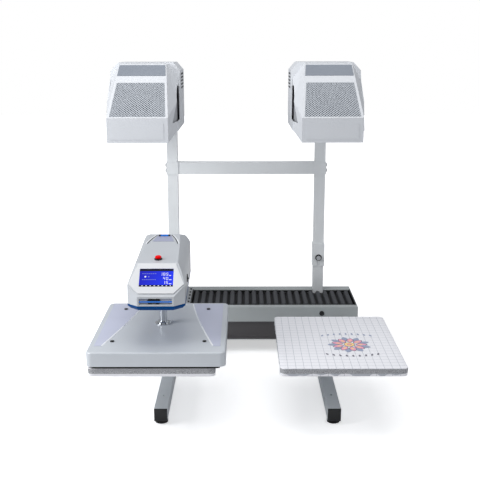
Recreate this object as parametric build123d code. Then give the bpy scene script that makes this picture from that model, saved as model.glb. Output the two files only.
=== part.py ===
from build123d import *
import os
from math import sqrt

# Double station pneumatic heat press: two fixed lower platens, one pressing head on a
# carriage that shuttles between them, and a mast that carries a projector over each.
# Millimetres. X is to the operator's right, Y points away from the operator, Z is up.
# Y = 0 is the front face of the base housing, X = 0 its middle, Z = 0 the floor.

# Clearances
SEAT_GAP = 0.3
RUN_GAP = 0.1

# Legs and feet
LEG_TUBE = 44.45
LEG_WALL = 3.0
LEG_X = 293.0
LEG_FRONT = -670.0
LEG_REAR = 322.0
LEG_CAP = 4.0
FOOT_HEIGHT = 15.0
FOOT_RADIUS = 22.0
FOOT_INSET = 35.0
FOOT_STEM_RADIUS = 5.0
LEG_SCREW_Y = -555.0

# Base housing
HOUSING_HALF = 458.8
HOUSING_DEPTH = 301.4
HOUSING_HEIGHT = 140.3
SHEET = 3.0
FRONT_LIP = 33.0
REAR_FLANGE = 51.4
PANEL_HALF = 230.0
PANEL_HEIGHT = 76.0
PANEL_DEPTH = 9.0
MAINS_X = 120.0
AIR_X = 190.0
INLET_RISE = 60.0

# Start buttons in the front face
BUTTON_X = 310.0
BUTTON_DROP = 26.0
BUTTON_RADIUS = 6.0
BUTTON_TRAVEL = 4.0
COLLAR_RADIUS = 10.0

# Shuttle drive inside the housing
RAIL_RADIUS = 12.5
RAIL_INSET = 75.0
RAIL_DROP = 55.0
DRIVE_RADIUS = 20.0
DRIVE_DROP = 62.0
STOP_RADIUS = 12.0
STOP_GAP = 1.0
BELLOWS_PLATE = 4.0
BELLOWS_BOTTOM = 16.0
BELLOWS_PLEATS = 22
BELLOWS_SHEET = 1.6

# Lower platens
STATION_X = 305.0
PLATEN_WIDTH = 400.0
PLATEN_LENGTH = 502.0
PLATEN_FRONT = -799.0
PLATEN_BOTTOM = 238.0
PLATEN_THICK = 10.0
PLATEN_RADIUS = 12.0
PAD_THICK = 10.0
CLOTH_SIDE = 5.0
CLOTH_TOP = 1.1
CLOTH_HEM = 2.0
ARM_WIDTH = 80.0
ARM_WALL = 5.0
ARM_ROOT_LOW = 26.0
ARM_ROOT_HIGH = 95.0
ARM_KNEE_RISE = 20.0
ARM_REACH = 52.0
ARM_CREST_GAP = 57.0
ARM_TIP_DEPTH = 40.0
ARM_BEND_DEPTH = 60.0
ARM_BOLT_FRONT = 20.0
ARM_BOLT_REAR = 130.0
ARM_BOLT_SIDE = 28.0

# Posts, sleeves and crossbar
POST_TUBE = 44.45
POST_WALL = 3.0
POST_X = 315.0
POST_FRONT = 250.0
LOWER_POST_TOP = 365.0
UPPER_POST_BOTTOM = 367.0
UPPER_POST_TOP = 1150.0
SLEEVE_WALL = 3.2
SLEEVE_BOTTOM = 308.0
SLEEVE_TOP = 409.0
SLOT_WIDTH = 13.0
SLOT_TOP = 355.0
CLAMP_HEIGHT = 347.0
CLAMP_RADIUS = 6.0
BAR_BOTTOM = 714.0
BAR_TOP = 765.0
BAR_BOLT_INSET = 14.0

# Carriage, arm and head
HEAD_X = -290.0
CARRIAGE_HALF = 55.0
CARRIAGE_PLATE = 6.0
CARRIAGE_LIFT = 3.0
BLOCK_LENGTH = 46.0
BLOCK_HALF = 24.0
BLOCK_OFFSET = 4.0
YOKE_HALF = 20.0
GOOSENECK_WIDTH = 72.0
GOOSENECK_REAR = 228.0
HEAD_FRONT = -762.0
HEAD_REAR = -322.0
HEAD_BOTTOM = 452.0
HEAD_WALL = 3.0
NOSE_TOP = 483.0
BEZEL_TOP_Y = -675.0
CREST_Y = -392.0
CREST_Z = 600.0
NOSE_HALF = 58.0
HEAD_HALF = 92.0
HEAD_REAR_HALF = 84.0
CREST_HALF = 50.0
SHOULDER_REACH = 79.0
NOSE_CHAMFER = 31.0
SHOULDER_Z = 513.0
TRIM_HEIGHT = 15.5
BEZEL_THICK = 3.0
SCREEN_WIDTH = 108.0
SCREEN_HEIGHT = 65.0
SCREEN_THICK = 2.0
RECESS_HALF = 54.0
RECESS_HEIGHT = 24.0
RECESS_DEPTH = 16.0
STOP_BUTTON_Y = -641.0
STOP_CAP_RADIUS = 10.5
STOP_CAP_HEIGHT = 5.0
STOP_COLLAR_RADIUS = 13.0
STOP_COLLAR_HEIGHT = 2.5
STOP_STEM_RADIUS = 6.0
STOP_BUTTON_TRAVEL = 3.0
SWITCH_Y = -592.0
SWITCH_Z = 496.0
ROCKER_RADIUS = 9.0
ROCKER_WIDTH = 9.0
ROCKER_TILT = 8.0
ROCKER_FACET = 14.0

# Press
RAM_Y = -525.0
RAM_RADIUS = 13.0
CYLINDER_RADIUS = 42.0
CYLINDER_HEIGHT = 60.5
RAM_TOP = 446.0
FLANGE_RADIUS = 28.0
FLANGE_THICK = 4.0
HUB_RADIUS = 21.0
HUB_HEIGHT = 6.0
COVER_WIDTH = 441.0
COVER_LENGTH = 512.0
COVER_FRONT = -808.0
COVER_BOTTOM = 267.6
COVER_TOP = 314.4
COVER_WALL = 2.0
COVER_RADIUS = 20.0
COVER_EDGE = 6.0
PRESS_GAP = 1.0
HEATER_SIDE_MARGIN = 17.5
HEATER_END_MARGIN = 6.0
HEATER_THICK = 16.0
BOARD_SIDE_MARGIN = 8.0
BOARD_END_MARGIN = 10.0
INSET_THICK = 1.0
INSET_FRONT_MARGIN = 60.0
INSET_REAR_MARGIN = 16.0
INSET_SIDE_MARGIN = 18.0
COVER_SCREW_X = 150.0
COVER_SCREW_REAR_MARGIN = 80.0
COVER_SCREW_FRONT_MARGIN = 101.0

# Projector hoods
HOOD_X = (-388.0, 304.0)
HOOD_HALF = 133.0
HOOD_REAR = 180.0
HOOD_WALL = 2.5
HOOD_BOTTOM = 940.0
HOOD_TOP = 1186.0
HOOD_CHAMFER = 30.0
SHELL_TOE_Y = -168.0
SHELL_KNEE_Y = -127.0
SHELL_KNEE_Z = 1051.0
SHELL_SHOULDER_Y = -37.0
SHELL_SHOULDER_Z = 1121.0
SHELL_CREST_Y = -5.0
FACE_Y = -310.0
FACE_HALF = 109.0
FACE_BOTTOM = 913.0
FACE_TOP = 1001.0
BROW_Y = -46.0
BROW_Z = 1181.0
BROW_HALF = 90.0
BROW_LEAN = 6.0
CHEEK_HALF = 131.0
WINDOW_FRONT = -240.0
WINDOW_REAR = -50.0
WINDOW_SILL = 975.0
WINDOW_TOP = 1106.0
PLATE_LIFT = 1.2
PROJECTOR_WIDTH = 200.0
PROJECTOR_FRONT = -252.0
PROJECTOR_REAR = 130.0
PROJECTOR_TOP = 1105.0
BULGE_DEPTH = 8.0
CONNECTOR_Y = 100.0
LENS_RADIUS = 18.0
LENS_LENGTH = 12.0
LENS_Y = 0.0
GRILLE_LOW = 6.0
GRILLE_HIGH = 204.0
GRILLE_BORDER = 9.0
GRILLE_THICK = 2.0
GRILLE_COLUMNS = 8
GRILLE_ROWS = 8
GRILLE_BAR = 4.0
TOP_PANEL_LOW = 246.0
TOP_PANEL_HIGH = 312.0

# Values that follow from those above
HOUSING_BOTTOM = FOOT_HEIGHT + LEG_TUBE
HOUSING_TOP = HOUSING_BOTTOM + HOUSING_HEIGHT
FLOOR_TOP = HOUSING_BOTTOM + SHEET
OPENING_REAR = HOUSING_DEPTH - REAR_FLANGE
INLET_Z = HOUSING_BOTTOM + INLET_RISE
POST_Y = POST_FRONT + POST_TUBE / 2
CROSSBAR_BOLT_Z = (BAR_BOTTOM + BAR_BOLT_INSET, BAR_TOP - BAR_BOLT_INSET)
PLATEN_Y = PLATEN_FRONT + PLATEN_LENGTH / 2
PLATEN_TOP = PLATEN_BOTTOM + PLATEN_THICK
PAD_TOP = PLATEN_TOP + PAD_THICK
CLOTH_Z = PAD_TOP + SEAT_GAP + CLOTH_TOP
HEATER_BOTTOM = CLOTH_Z + PRESS_GAP
HEATER_WIDTH = COVER_WIDTH - 2 * HEATER_SIDE_MARGIN
HEATER_LENGTH = COVER_LENGTH - 2 * HEATER_END_MARGIN
COVER_REAR = COVER_FRONT + COVER_LENGTH
COVER_SCREW_REAR = COVER_REAR - COVER_SCREW_REAR_MARGIN
COVER_SCREW_FRONT = COVER_FRONT + COVER_SCREW_FRONT_MARGIN
ARM_TIP = PLATEN_Y - ARM_REACH
ARM_CREST = PLATEN_FRONT + PLATEN_LENGTH + ARM_CREST_GAP
CYLINDER_BOTTOM = HEAD_BOTTOM - TRIM_HEIGHT + HEAD_WALL
CYLINDER_TOP = CYLINDER_BOTTOM + CYLINDER_HEIGHT
CARRIAGE_BOTTOM = HOUSING_TOP + CARRIAGE_LIFT
CARRIAGE_TOP = CARRIAGE_BOTTOM + CARRIAGE_PLATE
RAIL_Z = HOUSING_TOP - RAIL_DROP
RAIL_Y = (RAIL_INSET, HOUSING_DEPTH - SHEET - RAIL_INSET)
DRIVE_Y = (RAIL_Y[0] + RAIL_Y[1]) / 2
DRIVE_Z = HOUSING_TOP - DRIVE_DROP
STOP_LENGTH = HOUSING_HALF - SHEET + HEAD_X - BLOCK_OFFSET - BLOCK_LENGTH - STOP_GAP
CREST_SLOPE = (CREST_Z - (NOSE_TOP + BEZEL_TOP_Y - HEAD_FRONT)) / (CREST_Y - BEZEL_TOP_Y)


# Basic shapes
def block(x0, x1, y0, y1, z0, z1):
    """A box between two corners."""
    return Pos((x0 + x1) / 2, (y0 + y1) / 2, (z0 + z1) / 2) * Box(x1 - x0, y1 - y0, z1 - z0)


def rod_x(x0, x1, y, z, r):
    return Pos((x0 + x1) / 2, y, z) * Rot(0, 90, 0) * Cylinder(r, x1 - x0)


def rod_y(x, y0, y1, z, r):
    return Pos(x, (y0 + y1) / 2, z) * Rot(90, 0, 0) * Cylinder(r, y1 - y0)


def rod_z(x, y, z0, z1, r):
    return Pos(x, y, (z0 + z1) / 2) * Cylinder(r, z1 - z0)


def rounded_plate(x, y, z0, z1, width, length, radius):
    """A flat plate with rounded corners, centred at x, y."""
    return Pos(x, y, z0) * extrude(RectangleRounded(width, length, radius), z1 - z0)


def side_face(x, points):
    """A face in the plane X = x from (y, z) points."""
    return make_face(Polyline(*[(x, y, z) for y, z in points], close=True))


def side_prism(x0, x1, points):
    return extrude(side_face(x0, points), amount=x1 - x0, dir=(1, 0, 0))


def drawn_in(points, wall):
    """A closed outline moved inwards by a wall's thickness, corner by corner."""
    inner = []
    for k, (y, z) in enumerate(points):
        before, after = points[k - 1], points[(k + 1) % len(points)]
        a = Vector(y - before[0], z - before[1]).normalized()
        b = Vector(after[0] - y, after[1] - z).normalized()
        grow = wall / (1 + a.X * b.X + a.Y * b.Y)
        inner.append((y - grow * (a.Y + b.Y), z + grow * (a.X + b.X)))
    return inner


def plan_prism(z0, z1, points):
    face = make_face(Polyline(*[(x, y, z0) for x, y in points], close=True))
    return extrude(face, amount=z1 - z0, dir=(0, 0, 1))


def hex_head(across, height):
    return extrude(RegularPolygon(across / sqrt(3), 6), height)


# Legs and feet
def legs():
    """Square tubes that run front to back, capped at both ends."""
    tubes = []
    for x in (-LEG_X, LEG_X):
        half = LEG_TUBE / 2
        front, rear = LEG_FRONT + LEG_CAP, LEG_REAR - LEG_CAP
        tube = block(x - half, x + half, front, rear, FOOT_HEIGHT, HOUSING_BOTTOM)
        inner = half - LEG_WALL
        tube -= block(
            x - inner, x + inner, front - 1, rear + 1,
            FOOT_HEIGHT + LEG_WALL, HOUSING_BOTTOM - LEG_WALL,
        )
        for y in (LEG_FRONT + FOOT_INSET, LEG_REAR - FOOT_INSET):
            tube -= rod_z(x, y, FOOT_HEIGHT - 1, FOOT_HEIGHT + LEG_WALL + 1, FOOT_STEM_RADIUS + RUN_GAP)
        tube -= rod_z(x, LEG_SCREW_Y, HOUSING_BOTTOM - LEG_WALL - 1, HOUSING_BOTTOM + 1, 4.0)
        tubes.append(tube)
    return tubes


def leg_caps():
    """Plastic plugs with a rim as large as the tube."""
    caps = []
    half = LEG_TUBE / 2
    plug = half - LEG_WALL - SEAT_GAP
    middle = FOOT_HEIGHT + half
    for x in (-LEG_X, LEG_X):
        for rim, inward in ((LEG_FRONT, 1), (LEG_REAR, -1)):
            seat = rim + inward * LEG_CAP
            tip = seat + inward * 14
            cap = block(x - half, x + half, min(rim, seat), max(rim, seat), FOOT_HEIGHT, HOUSING_BOTTOM)
            outer = cap.faces().sort_by(Axis.Y)[0 if inward > 0 else -1]
            cap = chamfer(outer.edges(), 1.5)
            cap += block(x - plug, x + plug, min(seat, tip), max(seat, tip), middle - plug, middle + plug)
            caps.append(cap)
    return caps


def feet():
    """Levelling feet: a rubber-soled pad, a neck and a threaded stem."""
    parts = []
    for x in (-LEG_X, LEG_X):
        for y in (LEG_FRONT + FOOT_INSET, LEG_REAR - FOOT_INSET):
            foot = rod_z(x, y, 0, FOOT_HEIGHT * 0.5, FOOT_RADIUS)
            foot += rod_z(x, y, FOOT_HEIGHT * 0.5, FOOT_HEIGHT, FOOT_RADIUS * 0.5)
            foot += rod_z(x, y, FOOT_HEIGHT, FOOT_HEIGHT + LEG_TUBE * 0.6, FOOT_STEM_RADIUS)
            parts.append(foot)
    return parts


# Base housing
def base_housing():
    """Folded sheet tray with a front lip, a rear flange and an open slot for the carriage."""
    h, d, t = HOUSING_HALF, HOUSING_DEPTH, SHEET
    body = block(-h, h, 0, d, HOUSING_BOTTOM, HOUSING_TOP)
    body -= block(-h + t, h - t, t, d - t, FLOOR_TOP, HOUSING_TOP - t)
    body -= block(-h + t, h - t, FRONT_LIP, OPENING_REAR, HOUSING_TOP - t - 1, HOUSING_TOP + 1)
    body -= block(-PANEL_HALF, PANEL_HALF, -1, t + 1, FLOOR_TOP, FLOOR_TOP + PANEL_HEIGHT)
    hole = POST_TUBE / 2 + SEAT_GAP
    for side in (-1, 1):
        x = side * POST_X
        body -= block(x - hole, x + hole, POST_Y - hole, POST_Y + hole, HOUSING_TOP - t - 1, HOUSING_TOP + 1)
        z = HOUSING_TOP - BUTTON_DROP
        body -= rod_y(side * BUTTON_X, -1, t + 1, z, COLLAR_RADIUS - 2.5)
    body -= rod_y(MAINS_X, d - t - 1, d + 1, INLET_Z, 12.0)
    body -= rod_y(AIR_X, d - t - 1, d + 1, INLET_Z, 8.0)
    return body


def lower_panel():
    """Moulded panel with a raised border, let into the front wall."""
    gap = SEAT_GAP
    half = PANEL_HALF - gap
    z0, z1 = FLOOR_TOP + gap, FLOOR_TOP + PANEL_HEIGHT - gap
    panel = block(-half, half, 0, PANEL_DEPTH, z0, z1)
    border = 7.0
    panel -= block(-half + border, half - border, -1, 2.5, z0 + border, z1 - border)
    panel -= block(-half + 3, half - 3, 5.5, PANEL_DEPTH + 1, z0 + 3, z1 - 3)
    return panel


def button_collars():
    rings = []
    z = HOUSING_TOP - BUTTON_DROP
    for x in (-BUTTON_X, BUTTON_X):
        ring = rod_y(x, -3.0, 0.0, z, COLLAR_RADIUS)
        ring += rod_y(x, 0.0, SHEET + 12, z, COLLAR_RADIUS - 2.5 - RUN_GAP)
        ring -= rod_y(x, -4.0, SHEET + 9, z, BUTTON_RADIUS + SEAT_GAP)
        rings.append(ring)
    return rings


def start_button(x):
    """Push button whose face stands a little behind the collar's rim."""
    z = HOUSING_TOP - BUTTON_DROP
    rear = SHEET + 9 - BUTTON_TRAVEL - SEAT_GAP
    cap = rod_y(x, -2.0, rear, z, BUTTON_RADIUS)
    face = cap.faces().sort_by(Axis.Y)[0]
    return chamfer(face.edges(), 1.0)


def mains_inlet():
    """Panel socket for the mains lead, in the rear wall."""
    d = HOUSING_DEPTH
    body = block(MAINS_X - 24, MAINS_X + 24, d, d + 4, INLET_Z - 16, INLET_Z + 16)
    body += rod_y(MAINS_X, d - 20, d, INLET_Z, 12.0 - RUN_GAP)
    body -= block(MAINS_X - 12, MAINS_X + 12, d - 12, d + 5, INLET_Z - 8, INLET_Z + 8)
    return body


def air_inlet():
    """Bulkhead fitting with a hose nipple."""
    d = HOUSING_DEPTH
    nut = Pos(AIR_X, d + 6, INLET_Z) * Rot(90, 0, 0) * hex_head(22, 6)
    body = nut + rod_y(AIR_X, d - 15, d, INLET_Z, 8.0 - RUN_GAP)
    body += rod_y(AIR_X, d + 6, d + 18, INLET_Z, 6.0)
    return body - rod_y(AIR_X, d - 16, d + 19, INLET_Z, 3.5)


# Shuttle drive
def guide_rails():
    end = HOUSING_HALF - SHEET
    return [rod_x(-end, end, y, RAIL_Z, RAIL_RADIUS) for y in RAIL_Y]


def shuttle_cylinder():
    """Rodless air cylinder: a barrel between two square end blocks."""
    end = HOUSING_HALF - SHEET
    z = DRIVE_Z
    body = rod_x(-end, end, DRIVE_Y, z, DRIVE_RADIUS)
    for side in (-1, 1):
        x0, x1 = sorted((side * end, side * (end - 28)))
        r = DRIVE_RADIUS + 4
        body += block(x0, x1, DRIVE_Y - r, DRIVE_Y + r, z - r, z + r)
    return body


def end_stops():
    """Rubber buffers on the end walls, in line with the front rail's bearing blocks."""
    end = HOUSING_HALF - SHEET
    z = RAIL_Z - BLOCK_HALF + STOP_RADIUS
    y = RAIL_Y[0] + RAIL_RADIUS + STOP_RADIUS + 6
    return [
        rod_x(-end, -end + STOP_LENGTH, y, z, STOP_RADIUS),
        rod_x(end - STOP_LENGTH, end, y, z, STOP_RADIUS),
    ]


# Lower platens
def platen_arms():
    """Welded box arms that reach forward under each platen from the housing's front wall."""
    low, high = HOUSING_BOTTOM + ARM_ROOT_LOW, HOUSING_BOTTOM + ARM_ROOT_HIGH
    outline = [
        (0, low), (0, high), (-95, high + ARM_KNEE_RISE),
        (ARM_CREST, PLATEN_BOTTOM), (ARM_TIP, PLATEN_BOTTOM), (ARM_TIP, PLATEN_BOTTOM - ARM_TIP_DEPTH),
        (ARM_CREST + 10, PLATEN_BOTTOM - ARM_BEND_DEPTH), (-120, low),
    ]
    arms = []
    for x in (-STATION_X, STATION_X):
        half = ARM_WIDTH / 2
        arm = side_prism(x - half, x + half, outline)
        arm -= side_prism(x - half + ARM_WALL, x + half - ARM_WALL, drawn_in(outline, ARM_WALL))
        inner = half - ARM_WALL
        arm -= block(x - inner, x + inner, -ARM_WALL - 4, 1, low + ARM_WALL, high - ARM_WALL)
        arms.append(arm)
    return arms


def arm_bolts():
    """Hex bolts that clamp each platen to its arm from below."""
    bolts = []
    for x in (-STATION_X, STATION_X):
        for y in (PLATEN_Y - ARM_BOLT_FRONT, PLATEN_Y + ARM_BOLT_REAR):
            for side in (-1, 1):
                seat = PLATEN_BOTTOM - ARM_WALL
                bolts.append(rod_z(x + side * ARM_BOLT_SIDE, y, seat - 6, seat, 6.0))
    return bolts


def lower_platens():
    return [
        rounded_plate(x, PLATEN_Y, PLATEN_BOTTOM, PLATEN_TOP, PLATEN_WIDTH, PLATEN_LENGTH, PLATEN_RADIUS)
        for x in (-STATION_X, STATION_X)
    ]


def silicone_pads():
    return [
        rounded_plate(x, PLATEN_Y, PLATEN_TOP, PAD_TOP, PLATEN_WIDTH, PLATEN_LENGTH, PLATEN_RADIUS)
        for x in (-STATION_X, STATION_X)
    ]


def platen_cloth(x):
    """Slip-on cover: a flat top and a skirt down past the platen's edge."""
    skirt = 2 * CLOTH_SIDE
    outer = rounded_plate(
        x, PLATEN_Y, PLATEN_BOTTOM - CLOTH_HEM, CLOTH_Z,
        PLATEN_WIDTH + skirt, PLATEN_LENGTH + skirt, PLATEN_RADIUS + CLOTH_SIDE,
    )
    gap = 2 * SEAT_GAP
    inner = rounded_plate(
        x, PLATEN_Y, PLATEN_BOTTOM - CLOTH_HEM - 1, PAD_TOP + SEAT_GAP,
        PLATEN_WIDTH + gap, PLATEN_LENGTH + gap, PLATEN_RADIUS + SEAT_GAP,
    )
    half = ARM_WIDTH / 2 + 2
    cover = outer - inner
    return cover - block(
        x - half, x + half, PLATEN_Y, PLATEN_Y + PLATEN_LENGTH,
        PLATEN_BOTTOM - CLOTH_HEM - 1, PLATEN_BOTTOM + SEAT_GAP,
    )


# Posts
def square_tube(x, y, z0, z1, size, wall):
    half = size / 2
    inner = half - wall
    tube = block(x - half, x + half, y - half, y + half, z0, z1)
    return tube - block(x - inner, x + inner, y - inner, y + inner, z0 - 1, z1 + 1)


def lower_posts():
    """Tubes that stand on the housing floor and come up through its rear flange."""
    tubes = []
    for x in (-POST_X, POST_X):
        tube = square_tube(x, POST_Y, FLOOR_TOP, LOWER_POST_TOP, POST_TUBE, POST_WALL)
        tube -= rod_y(x, POST_FRONT - 1, POST_FRONT + POST_WALL + 1, CLAMP_HEIGHT, CLAMP_RADIUS + RUN_GAP)
        tubes.append(tube)
    return tubes


def post_bolts():
    """Clamp bolts with washers: the slotted sleeves slide up past their shanks."""
    bolts = []
    sleeve_face = POST_FRONT - SEAT_GAP - SLEEVE_WALL
    for x in (-POST_X, POST_X):
        washer = sleeve_face - SEAT_GAP
        bolt = rod_y(x, washer - 2.5, washer, CLAMP_HEIGHT, 14.0)
        bolt += rod_y(x, washer, POST_FRONT + POST_WALL + 8, CLAMP_HEIGHT, CLAMP_RADIUS)
        bolt += Pos(x, washer - 2.5, CLAMP_HEIGHT) * Rot(90, 0, 0) * hex_head(19, 8)
        bolts.append(bolt)
    return bolts


def upper_posts():
    """Tubes that carry the crossbar and the projector hoods, closed at the top."""
    tubes = []
    for x in (-POST_X, POST_X):
        half = POST_TUBE / 2
        tube = square_tube(x, POST_Y, UPPER_POST_BOTTOM, UPPER_POST_TOP, POST_TUBE, POST_WALL)
        tube += block(x - half, x + half, POST_Y - half, POST_Y + half, UPPER_POST_TOP, UPPER_POST_TOP + 3)
        tubes.append(tube)
    return tubes


def post_sleeves():
    """Square sleeves round the joint of each post, slotted from below at the front."""
    sleeves = []
    size = POST_TUBE + 2 * (SEAT_GAP + SLEEVE_WALL)
    for x in (-POST_X, POST_X):
        sleeve = square_tube(x, POST_Y, SLEEVE_BOTTOM, SLEEVE_TOP, size, SLEEVE_WALL)
        face = POST_FRONT - SEAT_GAP - SLEEVE_WALL
        half = SLOT_WIDTH / 2
        sleeve -= block(
            x - half, x + half, face - 1, POST_FRONT + 1, SLEEVE_BOTTOM - 1, SLOT_TOP - half,
        )
        sleeve -= rod_y(x, face - 1, POST_FRONT + 1, SLOT_TOP - half, half)
        sleeves.append(sleeve)
    return sleeves


def crossbar():
    """Rectangular tube between two collars that slip over the upper posts."""
    size = POST_TUBE + 2 * (SEAT_GAP + SLEEVE_WALL)
    half = POST_TUBE / 2
    inner = POST_X - size / 2
    bar = block(-inner - 1, inner + 1, POST_Y - half, POST_Y + half, BAR_BOTTOM, BAR_TOP)
    wall = SLEEVE_WALL
    bar -= block(-inner, inner, POST_Y - half + wall, POST_Y + half - wall, BAR_BOTTOM + wall, BAR_TOP - wall)
    for side in (-1, 1):
        collar = square_tube(side * POST_X, POST_Y, BAR_BOTTOM, BAR_TOP, size, SLEEVE_WALL)
        outer = side * (POST_X + size / 2)
        x0, x1 = sorted((outer + side, outer - side * (SLEEVE_WALL + 1)))
        for z in CROSSBAR_BOLT_Z:
            collar -= rod_x(x0, x1, POST_Y, z, 4.0 + RUN_GAP)
        bar += collar
    return bar


def crossbar_bolts():
    bolts = []
    outer = POST_X + POST_TUBE / 2 + SEAT_GAP + SLEEVE_WALL
    for side in (-1, 1):
        for z in CROSSBAR_BOLT_Z:
            x0, x1 = sorted((side * (POST_X + POST_TUBE / 2), side * outer))
            bolt = rod_x(x0, x1, POST_Y, z, 4.0)
            head = Pos(side * outer, POST_Y, z) * Rot(0, 90 * side, 0) * hex_head(13, 5)
            bolts.append(bolt + head)
    return bolts


def hood_brackets():
    """Channels that hold each hood in front of its post."""
    channels = []
    for x in (-POST_X, POST_X):
        channel = block(x - 34, x + 34, HOOD_REAR, POST_FRONT, 1010, 1110)
        channel -= block(x - 30, x + 30, HOOD_REAR + 4, POST_FRONT + 1, 1009, 1111)
        channel += block(x - 34, x + 34, POST_FRONT - 4, POST_FRONT, 1010, 1110)
        channels.append(channel)
    return channels


# Projector hoods
def shell_points(inset):
    """Side outline of a hood's rear shell, drawn in by inset."""
    return [
        (SHELL_TOE_Y + inset, HOOD_BOTTOM + inset), (SHELL_KNEE_Y + inset, SHELL_KNEE_Z),
        (SHELL_SHOULDER_Y + inset, SHELL_SHOULDER_Z - inset / 2), (SHELL_CREST_Y + inset, HOOD_TOP - inset),
        (HOOD_REAR - inset, HOOD_TOP - inset), (HOOD_REAR - inset, HOOD_BOTTOM + inset),
    ]


def shell_form(x, inset):
    """The rear shell as a closed solid, its long top edges chamfered."""
    half = HOOD_HALF - inset
    form = side_prism(x - half, x + half, shell_points(inset))
    drop = HOOD_CHAMFER
    top = HOOD_TOP - inset
    for side in (-1, 1):
        edge = x + side * half
        corner = make_face(Polyline(
            (edge + side, -200, top - drop - 1.3), (edge + side, -200, top + 1),
            (edge - side * drop * 0.9, -200, top + 1), close=True,
        ))
        form -= extrude(corner, amount=HOOD_REAR + 210, dir=(0, 1, 0))
    return form


def side_window(x, inner_side):
    """Three-cornered opening through the side of a hood that faces inwards."""
    near, far = sorted((x + inner_side * (FACE_HALF - 8), x + inner_side * (HOOD_HALF + 5)))
    corners = [(WINDOW_FRONT, WINDOW_SILL), (WINDOW_REAR, WINDOW_SILL), (WINDOW_REAR - 14, WINDOW_TOP)]
    return side_prism(near, far, corners)


def hood_rear(x, inner_side):
    """Wide rear shell, open at its slanted front, with vents on the side that faces inwards."""
    shell = shell_form(x, 0) - shell_form(x, HOOD_WALL)
    floor, roof = HOOD_BOTTOM + HOOD_WALL, HOOD_TOP - HOOD_WALL
    mouth = [
        (SHELL_TOE_Y - 22, floor), (SHELL_TOE_Y - 22, SHELL_KNEE_Z - 11),
        (SHELL_SHOULDER_Y - 23, SHELL_SHOULDER_Z + 19), (SHELL_CREST_Y - 15, roof),
        (SHELL_CREST_Y + 3, roof), (SHELL_SHOULDER_Y + 7, SHELL_SHOULDER_Z),
        (SHELL_KNEE_Y + 7, SHELL_KNEE_Z), (SHELL_TOE_Y + 8, floor),
    ]
    half = HOOD_HALF - HOOD_WALL
    crest = BROW_HALF - BROW_LEAN - 3 * HOOD_WALL
    shell -= side_prism(x - crest, x + crest, mouth)
    lower_mouth = mouth[:3] + [(SHELL_SHOULDER_Y + 3, SHELL_SHOULDER_Z)] + mouth[6:]
    shell -= side_prism(x - half, x + half, lower_mouth)
    wall_x = x + inner_side * HOOD_HALF
    for i in range(5):
        shell -= Pos(wall_x, 96, 1068 + i * 14) * Rot(-25, 0, 0) * Box(3 * HOOD_WALL, 60, 5)
    shell -= rod_z(x, LENS_Y, HOOD_BOTTOM - 1, HOOD_BOTTOM + HOOD_WALL + 1, LENS_RADIUS + 4)
    return shell - side_window(x, inner_side)


def wall_at(y, side, inner_side):
    """Half-width of a hood's core at y: it narrows from the face to the brow and leans outwards."""
    brow = BROW_HALF - side * inner_side * BROW_LEAN
    return FACE_HALF + (brow - FACE_HALF) * (y - FACE_Y) / (BROW_Y - FACE_Y)


def front_points(i):
    """Side outline of a hood's front cover, drawn in by i."""
    return [
        (FACE_Y + i, FACE_BOTTOM + i), (FACE_Y + i, FACE_TOP - i * 0.4),
        (BROW_Y, BROW_Z - 1.2 * i), (0, BROW_Z + 4 - 1.2 * i), (0, HOOD_BOTTOM + i), (-168, HOOD_BOTTOM + i),
    ]


def cheek(near, far):
    """Solid between two outlines with as many corners, its sides split into flat triangles."""
    faces = [make_face(Polyline(*near, close=True)), make_face(Polyline(*far, close=True))]
    for k in range(len(near)):
        n = (k + 1) % len(near)
        for corners in ((near[k], near[n], far[k]), (near[n], far[n], far[k])):
            faces.append(make_face(Polyline(*corners, close=True)))
    return Solid(Shell(faces))


def front_form(x, inner_side, inset):
    """Front cover: a core with a sloped brow and a hollow cheek that flares out on each side."""
    i = inset
    core = side_prism(x - FACE_HALF, x + FACE_HALF, front_points(i))
    plan = [(x + side * (wall_at(y, side, inner_side) - i), y)
            for side, y in ((-1, FACE_Y), (1, FACE_Y), (1, 0), (-1, 0))]
    form = core & plan_prism(FACE_BOTTOM, HOOD_TOP + 10, plan)
    far_points = [
        (-165 + i, HOOD_BOTTOM + 2 + i), (-127 + i, 1051 - i), (-30, 1122 - i),
        (0, 1148 - i), (0, HOOD_BOTTOM + 2 + i), (-100, HOOD_BOTTOM + 2 + i),
    ]
    for side in (-1, 1):
        near = [(x + side * (wall_at(y, side, inner_side) - i), y, z) for y, z in front_points(i)]
        far = [(x + side * (CHEEK_HALF - i), y, z) for y, z in far_points]
        form += cheek(near, far)
    return form


def slope_plane(x, along):
    """Plane on the sloped brow, its origin the given distance up from the face's top edge."""
    run, rise = BROW_Y - FACE_Y, BROW_Z - FACE_TOP
    length = sqrt(run * run + rise * rise)
    origin = (x, FACE_Y + run * along / length, FACE_TOP + rise * along / length)
    return Plane(origin=origin, x_dir=(1, 0, 0), z_dir=(0, -rise / length, run / length))


def brow_field(x, inner_side, low, high, border):
    """Four-cornered face on the brow, from low to high up the slope, inside a border."""
    plane = slope_plane(x, 0)
    corners = []
    for along, sides in ((low, (-1, 1)), (high, (1, -1))):
        y = slope_plane(x, along).origin.Y
        corners += [(side * (wall_at(y, side, inner_side) - border), along) for side in sides]
    return plane * make_face(Polyline(*corners, close=True))


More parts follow.
